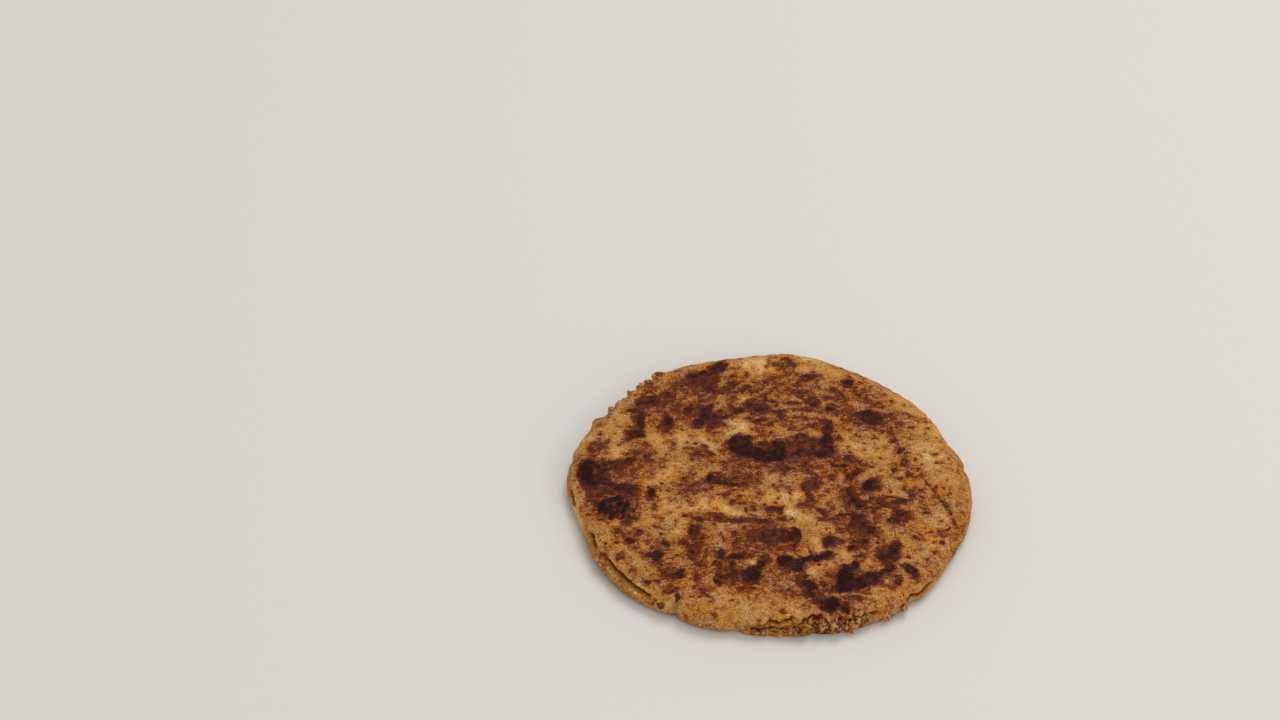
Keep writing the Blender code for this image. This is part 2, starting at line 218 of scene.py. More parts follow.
# Scorch marks of the top: x, y, half length, half width, angle, darkness from 0 to 1.
SCORCHES = (
    # Upper left.
    (-37.8, 52.6, 2.2, 1.2, 70, 0.56), (-41, 47, 2.5, 1.2, 75, 0.65), (-41.5, 37.5, 4.5, 1.5, 10, 0.8),
    (-35.5, 41.5, 2.5, 2, 0, 0.7), (-29, 47.5, 4, 2, 20, 0.66), (-46.5, 33.5, 4, 1.3, 0, 0.75),
    (-44.5, 27, 5, 1.6, 90, 0.85), (-34.7, 27, 2.8, 2, 90, 0.9), (-36, 22, 1.5, 0.8, 70, 0.7),
    (-38.3, 23.5, 0.9, 0.8, 0, 0.75), (-32, 34.5, 1.6, 1.4, 0, 0.66), (-27, 32.5, 2.6, 2.2, 0, 0.76),
    (-50.5, 33.5, 0.9, 0.9, 0, 0.6), (-50, 36, 0.9, 0.8, 0, 0.6), (-38, 32.5, 3.2, 0.7, 15, 0.55),
    # Left, from the upper end of the black patch on the edge down to the ragged cluster.
    (-46.3, 20.7, 2.5, 2, 0, 0.88), (-49, 18.3, 1.5, 1, 40, 0.75), (-60.5, 14.5, 3.5, 3, 0, 0.6),
    (-59.3, 21, 0.6, 0.6, 0, 0.7), (-62.2, 0.5, 7.6, 4, 90, 0.86), (-57.2, 2.5, 1.6, 1.3, 0, 0.84),
    (-63, 0.5, 4.4, 1.8, 90, 1), (-60.5, -3.5, 2.6, 1.4, 0, 0.92), (-62.5, 5.2, 2.2, 1.8, 0, 0.96),
    (-55.5, 6.3, 1.3, 1, 0, 0.8), (-51.8, 3.7, 1.8, 1.5, 0, 0.8), (-48, 7, 2.6, 1.4, 40, 0.8),
    (-46.3, 11, 1.2, 0.7, 50, 0.7), (-43, 6.7, 1.7, 1.2, 0, 0.65), (-40.5, 7, 1.1, 0.7, 90, 0.65),
    (-39.7, 10.3, 0.7, 0.6, 0, 0.6), (-43.2, 15, 1.3, 0.8, 0, 0.65), (-43, 1, 0.7, 0.6, 0, 0.6),
    (-33.3, 15, 1.3, 0.8, 90, 0.6), (-38, 4.3, 0.9, 0.6, 60, 0.6), (-49.5, -6.5, 4, 2.5, 0, 0.84),
    (-51, -7.5, 1.5, 1.2, 0, 0.9), (-48, -8, 1.2, 1, 0, 0.9), (-55, -7, 2.5, 2, 0, 0.65),
    (-54, -11.2, 3, 1.2, 10, 1), (-57.8, -14.5, 2.6, 1.3, 80, 1), (-56, -16.8, 1.6, 1.2, 0, 0.95),
    (-54.7, -18.5, 2.2, 1.1, 80, 0.98), (-51.5, -13.5, 1.8, 1.3, 60, 0.95),
    (-50.5, -17.5, 2.8, 1, 80, 0.95), (-47.7, -17, 1.5, 0.9, -45, 0.85), (-46.5, -21, 1, 0.8, 0, 0.6),
    (-45.5, -15.3, 0.8, 0.8, 0, 0.6), (-63, -11.7, 0.7, 0.7, 0, 0.7), (-52.3, -10.8, 2.6, 1.1, 0, 0.95),
    (-49.2, -14.6, 3.2, 0.9, 80, 0.92), (-55.6, -16.2, 2.8, 1.1, 60, 0.92),
    (-52.8, -17.2, 2.4, 0.9, 85, 0.9), (-56.5, 5.5, 2.2, 1.1, 0, 0.9), (-58, -2.5, 2.6, 1.6, 0, 0.88),
    (-55, -4, 2, 0.9, 10, 0.82), (-48, -20.3, 2.2, 0.9, -30, 0.8), (-60.5, -12, 0.8, 0.7, 0, 0.75),
    (-62.5, -18, 0.7, 0.6, 0, 0.65), (-40.7, -8.5, 1.5, 1.3, 90, 0.85), (-41.3, -11.3, 1.3, 1, 0, 0.7),
    (-40, -16, 1.3, 0.8, 90, 0.65), (-26.5, 12.4, 2.3, 0.7, -10, 0.68), (-24.5, 11, 1.5, 1.1, 0, 0.72),
    # Lower left.
    (-52, -26.5, 1.8, 1.2, -20, 0.65), (-49.7, -27.5, 1.2, 0.8, 0, 0.7),
    (-48, -30.3, 1.9, 1.3, 0, 0.85), (-45.2, -27, 1.2, 0.9, 90, 0.8), (-46, -33.7, 0.6, 0.6, 0, 0.7),
    (-52.3, -31, 0.6, 0.6, 0, 0.65), (-51.7, -37.7, 1.8, 1, 80, 0.6), (-48, -43.3, 0.8, 0.7, 0, 0.65),
    (-46.3, -45.5, 0.8, 0.7, 0, 0.65), (-42.5, -48.7, 1.2, 1, 0, 0.7), (-42, -37.3, 1.8, 0.8, -20, 0.8),
    (-39, -37.5, 3, 1.8, 60, 0.88), (-36.4, -32.2, 2.2, 0.9, -55, 0.88),
    (-40.3, -24.5, 1.2, 0.9, 0, 0.6), (-40.2, -33.5, 0.8, 0.8, 0, 0.6),
    (-30.4, -31.8, 1.5, 1, -30, 0.75), (-26.5, -27, 3.4, 2, 90, 0.8), (-27, -36, 3, 2, 90, 0.72),
    (-28, -38.5, 1.2, 1, 0, 0.75), (-37, -44.3, 1.3, 1, 0, 0.75), (-32.5, -46.3, 2.2, 1.8, 0, 0.85),
    (-31.3, -43.7, 1.2, 1, 0, 0.75), (-34.3, -52.6, 0.8, 0.7, 0, 0.8),
    (-36.4, -52.6, 0.6, 0.6, 0, 0.75), (-32.5, -54.3, 1.4, 0.9, 90, 0.82),
    (-26.3, -47, 1.5, 1.3, 0, 0.65), (-25.5, -41, 1.3, 1.2, 0, 0.65),
    # Top.
    (-21.5, 50.5, 5.5, 3.2, 10, 0.76), (-16, 56, 3.6, 2.8, 45, 0.82), (-19, 47.5, 5, 2.4, 80, 0.74),
    (-25, 47.5, 3.5, 3, 0, 0.7), (-21, 53.5, 1.5, 1, 0, 0.95), (-17, 56.3, 1.2, 1, 0, 0.95),
    (-26, 51.5, 2, 1.5, 0, 0.9), (-10.5, 51.3, 1, 0.8, 60, 0.75), (-6, 52, 1.5, 0.6, 80, 0.65),
    (-11, 45.8, 2.2, 1.8, 30, 0.75), (-13.3, 43.3, 1.2, 0.8, 45, 0.75), (-11, 42, 2, 0.7, 0, 0.7),
    (-5.8, 44.6, 2.3, 1, 25, 0.72), (-7.5, 42.4, 1.2, 0.8, 80, 0.75), (2, 47.5, 0.9, 0.6, -40, 0.78),
    (4.5, 49.5, 0.8, 0.8, 0, 0.62), (5, 47, 1.3, 0.5, 0, 0.62), (-4, 47.5, 0.8, 0.5, 20, 0.68),
    (9, 44.5, 0.8, 0.7, 0, 0.66), (4.2, 44.5, 1, 0.7, 0, 0.62), (0.7, 39, 1.8, 1, 90, 0.8),
    (3, 36.8, 2, 0.8, -20, 0.76), (-4.6, 35.6, 1.8, 1.4, 0, 0.8), (-3.5, 34.5, 2.5, 2, 0, 0.78),
    (-1.6, 33, 2, 1.5, 0, 0.88), (1, 33.4, 1, 0.8, 0, 0.8), (2.5, 32, 3, 1, 0, 0.7),
    (5, 31.3, 1.8, 1.2, 0, 0.76), (6, 29.3, 1.5, 0.8, 90, 0.78), (-10, 32.6, 2.8, 1.6, 0, 0.82),
    (-11.5, 38.5, 2, 1.6, 0, 0.56), (-15.6, 31.5, 1.3, 0.8, 90, 0.8), (-19.6, 34.3, 2.2, 1.1, 40, 0.85),
    (-21.5, 32, 2.4, 2, 0, 0.85), (-20, 29, 3.2, 1.8, -10, 0.88), (-24, 26.3, 2.6, 2, 20, 0.82),
    (-16.3, 28.5, 3.6, 1, 0, 0.88), (-24.5, 23.7, 1.5, 0.8, 0, 0.75), (-15, 25, 0.7, 0.6, 0, 0.85),
    (-19.5, 24.5, 2, 1.4, 0, 0.72), (-17, 26.3, 2, 1.2, 0, 0.75), (-6, 28.4, 1.5, 0.9, 0, 0.8),
    (-1.8, 27.5, 2.2, 0.8, 10, 0.8), (-5, 30.5, 0.7, 0.7, 0, 0.75), (6.6, 27.2, 1.6, 0.6, 0, 0.72),
    (17.5, 51, 3.2, 2, 15, 0.75), (13.3, 47.8, 1.3, 0.8, 60, 0.8), (15, 49.3, 1.2, 1, 0, 0.66),
    (17.5, 37, 2.8, 2.3, 0, 0.78), (18.2, 35, 1.2, 0.9, 0, 0.82), (12.8, 43, 1.6, 1.4, 0, 0.62),
    (14.5, 41, 1.2, 1, 0, 0.62), (10.8, 36, 2.2, 0.9, 0, 0.76), (14, 32.3, 4, 0.6, -4, 0.66),
    (14.5, 28.2, 4, 0.7, 0, 0.66), (18, 24.6, 3, 1.2, 10, 0.66), (11, 41, 2, 0.5, 5, 0.55),
    (6, 57.8, 1.6, 1.1, 0, 0.62), (3.3, 60.4, 2, 0.6, 85, 0.52), (2.2, 56.5, 0.9, 0.8, 0, 0.62),
    (9.6, 60.8, 1.6, 1.1, 0, 0.7), (11.2, 58.4, 2.4, 1.3, -65, 0.7), (15.5, 58.5, 1.5, 0.7, 0, 0.35),
    (18.5, 57, 1.2, 1, 0, 0.4), (-8.5, 61, 1.4, 1.3, 0, 0.35), (-10, 55.2, 1.2, 0.6, 0, 0.6),
    # Middle.
    (-9.5, 14.5, 5, 4.2, 90, 0.94), (-7, 18, 2.2, 1.4, 0, 0.8), (-5.5, 11.5, 4.5, 3.2, -20, 0.97),
    (0.5, 8.8, 6.5, 2.8, 0, 0.97), (4, 12.5, 4.6, 2.3, 90, 0.95), (-1.5, 13.8, 3, 2, 0, 0.75),
    (12.5, 18.5, 2.6, 1.7, 0, 0.84), (16.3, 17, 1.8, 1, 0, 0.75), (20.5, 13.5, 5.6, 2.2, 90, 0.84),
    (13, 13, 3.2, 2.6, 0, 0.66), (12.5, 10.3, 2.6, 1.8, 0, 0.84), (17.5, 10, 3, 2, 0, 0.8),
    (18.5, 9, 2, 1.3, 0, 0.92), (8, 12, 4, 2.6, 90, 0.7), (-11.5, 7.5, 2, 1.8, 90, 0.6),
    (-10.3, 0.8, 0.6, 0.5, 0, 0.75), (-4, 4, 1, 0.7, 0, 0.7), (-11.7, -1.5, 0.6, 0.6, 0, 0.75),
    (-20.2, -2, 2.6, 1.4, 90, 0.84), (-18.8, 0.8, 1.6, 0.7, 15, 0.78), (-17, -1, 1.1, 0.9, 0, 0.72),
    (-18.3, -3.8, 2, 1, 0, 0.82), (-24, -4.5, 1.2, 0.9, 0, 0.55), (-13, -4.8, 4.2, 0.85, 0, 0.9),
    (-9.5, -4.1, 1.4, 0.7, 15, 0.85), (-16, -9.4, 2.2, 0.6, 5, 0.72), (-10.6, -10.3, 0.9, 0.6, 0, 0.8),
    (-13.3, -12.7, 0.9, 0.8, 0, 0.8), (-10.5, -13.9, 2.3, 0.6, 0, 0.75),
    (-7.3, -10.8, 0.5, 0.5, 0, 0.7), (-21, -12.7, 0.6, 0.5, 90, 0.66), (-8.7, -17, 1.2, 0.6, 80, 0.76),
    (-6, -17, 0.9, 0.8, 0, 0.5), (0.5, -16.7, 3, 1, 5, 0.84), (2.6, -18.5, 1.2, 0.7, 80, 0.72),
    (1.8, -14.1, 1, 0.5, 0, 0.7), (-0.7, -20, 0.9, 0.5, 0, 0.72), (4, -15.2, 0.6, 0.4, 0, 0.65),
    (-19.5, -19.8, 3.6, 2, -10, 0.6), (-18.3, -20.3, 1.5, 1, 0, 0.72), (-30, -19.8, 1, 0.9, 0, 0.72),
    (-24.6, -21, 1.4, 1.2, 0, 0.68), (-22, 14, 1.5, 0.7, -45, 0.7), (-20, 10.4, 2.2, 0.8, -35, 0.8),
    (-24.3, 9.6, 2, 0.8, 0, 0.72), (-15.5, 5.3, 0.6, 0.5, 0, 0.66), (1.7, 20.4, 0.6, 0.6, 0, 0.82),
    (5.5, 0.8, 1.4, 0.7, 90, 0.78), (4, -3.6, 0.6, 0.6, 0, 0.7), (9.3, -0.8, 0.6, 0.5, 0, 0.62),
    (14.5, -5.4, 2.8, 2, 35, 0.76), (16.4, -2.3, 2, 1, 15, 0.76), (12.3, -6.3, 1.8, 1.3, 0, 0.8),
    (13, -11.5, 3.8, 1.2, 90, 0.7), (11.3, -14.8, 1.5, 0.8, 0, 0.74), (14.3, -13.5, 1.3, 0.8, 80, 0.76),
    (12.4, 3.5, 0.9, 0.8, 0, 0.74), (14.1, 2.5, 1.5, 0.7, 90, 0.66), (17.5, 3, 1.7, 1.1, 0, 0.68),
    (13.5, 5.8, 1.6, 0.6, 0, 0.68), (16.8, -18, 2.7, 0.8, -50, 0.8), (7.7, -8, 0.5, 0.5, 0, 0.7),
    (7, -12.3, 0.5, 0.4, 0, 0.7), (16, -13.5, 0.7, 0.6, 0, 0.72),
    # Lower middle.
    (-8.5, -21.8, 8, 1, -3, 0.76), (-3, -22.3, 2, 0.9, 0, 0.82), (3.5, -21, 1.4, 0.8, 0, 0.72),
    (1, -29, 6, 3.6, 0, 0.78), (7.6, -28.5, 3.6, 1.7, 90, 0.84), (-6, -28.5, 3.5, 2.4, 0, 0.68),
    (-18, -37, 2, 1.2, 90, 0.8), (-13, -38, 3.2, 1.1, 0, 0.84), (-9.5, -37.3, 1.8, 1, 15, 0.78),
    (-12.3, -34, 1.1, 0.8, 0, 0.68), (-6.5, -35.8, 1.4, 0.8, -10, 0.7), (-18.5, -41, 1.5, 1, -20, 0.8),
    (-14, -42, 2.1, 1, 85, 0.84), (-3.3, -38.8, 1.6, 1.3, 0, 0.84), (-4.6, -41.5, 2.2, 1.6, 70, 0.82),
    (-8, -44.3, 3.6, 1.8, 20, 0.86), (-8.3, -46.8, 3, 2.6, 0, 0.93), (-9, -49.2, 2.6, 1.2, 0, 0.82),
    (-18, -46.5, 2, 1.2, 0, 0.78), (-19.3, -49, 1.2, 1, 0, 0.82), (-14, -46, 2.5, 1.5, 0, 0.76),
    (-10, -51.8, 3.6, 0.6, -5, 0.7), (3, -40, 3.2, 2.4, 0, 0.98), (7, -43, 2, 2, 0, 0.92),
    (12.3, -39, 6.8, 1.2, 15, 0.95), (7.5, -40.5, 2.4, 1.6, 0, 0.92), (17.2, -37.4, 2.2, 0.9, 25, 0.92),
    (8.3, -46.7, 2, 1, 0, 0.76), (9.3, -50, 1.6, 1.3, 0, 0.84), (11.5, -51, 2, 1.9, 0, 0.9),
    (11, -54.5, 2.6, 1.5, 0, 0.82), (14, -54, 1.6, 1, 0, 0.76), (12.5, -57, 2, 1, -15, 0.78),
    (16.7, -58.5, 3.2, 2.6, 20, 1), (18.2, -55.8, 1.3, 0.8, 0, 0.85), (19.5, -62.3, 0.7, 0.5, 0, 0.7),
    (1.3, -46, 1.6, 0.6, 15, 0.66), (-1, -43, 1.6, 0.6, 80, 0.6), (1, -60.8, 0.8, 0.6, 0, 0.74),
    (4, -52.5, 1, 0.9, 0, 0.58), (1.8, -53, 0.9, 0.7, 0, 0.58), (12.5, -62.7, 0.9, 0.4, -20, 0.75),
    (18.5, -31.5, 2.3, 2.2, 0, 0.88), (18, -46.5, 1, 0.7, 90, 0.66), (15, -49, 0.9, 0.4, 0, 0.74),
    (17, -52, 1, 1, 0, 0.72),
    # Upper right.
    (31.5, 47.8, 2.3, 2, 90, 0.84), (31.5, 49.4, 0.8, 0.6, 0, 0.9), (32, 53, 1, 0.7, 90, 0.5),
    (25.5, 44, 1.5, 1.2, 0, 0.68), (34.2, 44, 2.6, 0.9, 80, 0.58), (38, 37.3, 3.2, 1, -25, 0.6),
    (24.5, 36, 0.8, 0.7, 0, 0.72), (23.5, 33, 1.9, 1.5, 20, 0.84), (27.5, 32, 3, 1.2, 0, 0.68),
    (28.6, 30, 0.7, 0.5, 0, 0.76), (37.3, 30.8, 3.6, 1.6, 0, 0.84), (33.2, 30.3, 1.6, 1.5, 0, 0.78),
    (35.8, 27, 2.6, 1.6, -30, 0.82), (40.6, 28.5, 3, 1.5, 80, 0.88), (38.5, 26, 2.4, 1.5, 0, 0.84),
    (38, 28.5, 3, 2.5, 0, 0.74), (46, 30.6, 2.6, 1, 5, 0.66), (44, 28, 2.5, 2, 0, 0.58),
    (51.5, 29.8, 2, 0.5, -15, 0.5), (56, 27.8, 2.2, 0.7, -15, 0.58), (30, 27, 1.6, 1, 0, 0.7),
    (22.3, 25.5, 1.8, 1.7, 90, 0.76), (26, 25, 1, 0.7, 0, 0.6), (21, 27.2, 1, 0.7, 0, 0.7),
    # Right.
    (22, 21.5, 3, 1.8, 90, 0.86), (22.2, 15, 6, 1.8, 90, 0.88), (26.2, 18.5, 1.2, 0.9, 90, 0.72),
    (25.4, 22, 0.6, 0.6, 0, 0.7), (28.6, 8.2, 1.8, 1.4, 90, 0.72), (30.2, 7.6, 1.8, 1.3, -20, 0.76),
    (32, 6.3, 1.6, 0.9, -20, 0.66), (25, 4.1, 2.8, 1.2, 5, 0.84), (22.4, 5, 1, 1, 0, 0.76),
    (35, 4.5, 1.6, 0.6, 0, 0.62), (32.5, 3.5, 1.2, 0.7, 0, 0.55), (30.2, 1.5, 2, 1, 90, 0.8),
    (28.3, -1.5, 2.2, 1.4, 70, 0.8), (27.3, -8.3, 2.2, 1.4, 80, 0.8), (28.5, -12, 2.2, 1.5, -60, 0.84),
    (30.2, -14, 2.2, 1.5, -10, 0.84), (22, -1, 1.7, 1, 0, 0.66), (34.2, -5.8, 3.4, 2.2, 25, 0.95),
    (37, -3.5, 1.6, 1.2, 45, 0.85), (34.5, -11.6, 1.2, 0.8, 80, 0.78), (38, -13, 2.3, 1.9, 0, 0.72),
    (44.5, -12.3, 3.2, 1.2, 15, 0.78), (43.3, -14, 1, 0.8, 0, 0.76), (36, -15.6, 1.8, 0.6, 0, 0.76),
    (41.5, -15.3, 2.6, 0.6, -10, 0.66), (49, -8.8, 2.2, 1.3, 70, 0.7),
    (41.5, -10.8, 2.6, 0.6, -5, 0.66), (47, 12.8, 1.6, 1.2, 60, 0.74),
    (45.5, 17.5, 3.4, 0.8, -70, 0.62), (38.5, 18.5, 1, 0.8, 0, 0.5), (49.6, 11.2, 0.8, 0.6, 90, 0.55),
    (48, 7.3, 1.4, 0.9, -10, 0.78), (47.5, 5, 1.5, 1.3, 0, 0.76), (44, 2.6, 1.4, 0.9, 80, 0.76),
    (48.5, 1, 1.9, 0.8, 80, 0.74), (45.3, -1.3, 1.1, 0.8, -40, 0.74), (46.9, -6, 1.4, 0.7, 80, 0.72),
    (52.2, -7.3, 0.6, 0.4, 0, 0.85), (43, 5.5, 1.6, 0.4, 5, 0.55), (39.7, 8.3, 0.6, 0.5, 0, 0.72),
    (28.9, 11.6, 0.5, 0.4, 0, 0.72), (59, 6.2, 0.6, 0.5, 0, 0.74), (60.6, 6, 0.8, 0.4, 0, 0.6),
    (60, -6.3, 0.8, 0.5, 80, 0.72), (61.6, -2.1, 0.4, 0.4, 0, 0.82), (61.6, -9.6, 1, 0.8, 0, 0.55),
    (59.5, -15.5, 0.6, 0.4, 0, 0.7), (52.8, -17.8, 1, 0.8, 0, 0.82), (27.8, -18.2, 1, 0.5, 10, 0.88),
    (24.5, -19.2, 3.6, 0.7, 8, 0.84), (28.8, -20.3, 3, 1.5, 0, 0.8), (34.5, -17.5, 1, 0.8, 90, 0.68),
    (44.2, -18.8, 2.5, 2.2, 0, 0.78), (40, -21, 1, 1, 0, 0.8), (42.2, -21.8, 1.6, 1.4, 0, 0.86),
    (52.3, 3.3, 0.9, 0.5, 80, 0.72), (44.3, 21, 1.4, 1, 80, 0.68),
    # Lower right.
    (29.3, -23, 3.4, 2.5, 0, 0.82), (33, -26, 2.2, 2, 0, 0.84), (29.5, -31.5, 2.2, 1.4, 20, 0.84),
    (26.4, -34, 1.9, 1, 10, 0.88), (31, -30.8, 1, 0.8, 0, 0.78), (22, -32, 2.2, 1, 15, 0.74),
    (28.5, -38, 1.6, 0.9, 0, 0.76), (35, -31.7, 0.7, 0.5, 0, 0.85), (41, -32.5, 2.6, 1.3, 75, 0.84),
    (39.3, -35.3, 3.2, 2, 60, 0.86), (35, -38, 2.6, 1.6, 80, 0.82), (37.6, -41, 1.8, 1.2, -45, 0.82),
    (40.5, -38, 1.5, 1.4, 90, 0.8), (36.5, -34.8, 1.5, 1, 20, 0.72), (22.5, -46.5, 4.3, 2.8, 80, 0.96),
    (26.3, -42.5, 2.2, 1.3, 80, 0.95), (26.7, -49.8, 3.2, 2.2, 0, 0.96), (21.5, -51.5, 3.6, 2, 0, 0.95),
    (30, -48.3, 3.4, 2, -5, 0.88), (31.5, -45.8, 2.2, 1.1, 0, 0.95), (34, -46, 1.8, 1.3, 10, 0.97),
    (36.7, -43.8, 2.4, 0.9, 15, 0.92), (39, -42.8, 1.2, 0.7, 0, 0.85),
    (44.8, -43.4, 2.1, 1.7, -50, 0.9), (46, -46.2, 1.5, 1.1, 60, 0.78),
    (40.3, -48.6, 1.6, 1.2, 70, 0.8), (39.8, -46.5, 0.6, 0.4, 0, 0.7), (37.5, -51.5, 1.6, 1, 0, 0.5),
    (48, -29, 0.8, 0.5, 0, 0.84), (57, -26.5, 1.3, 1.1, 0, 0.52), (50.5, -38.5, 0.7, 0.5, 0, 0.58),
    (47.3, -40.3, 0.8, 0.4, 0, 0.58), (21.4, -60, 1.6, 1.5, 0, 0.84), (22, -58, 1.1, 0.8, 0, 0.8),
    (26.4, -56.6, 1.4, 0.8, -30, 0.7), (24.6, -54.8, 0.6, 0.4, 0, 0.72), (31, -64, 0.9, 0.8, 0, 0.74),
    (38.7, -58.7, 0.9, 0.4, 0, 0.72),
)

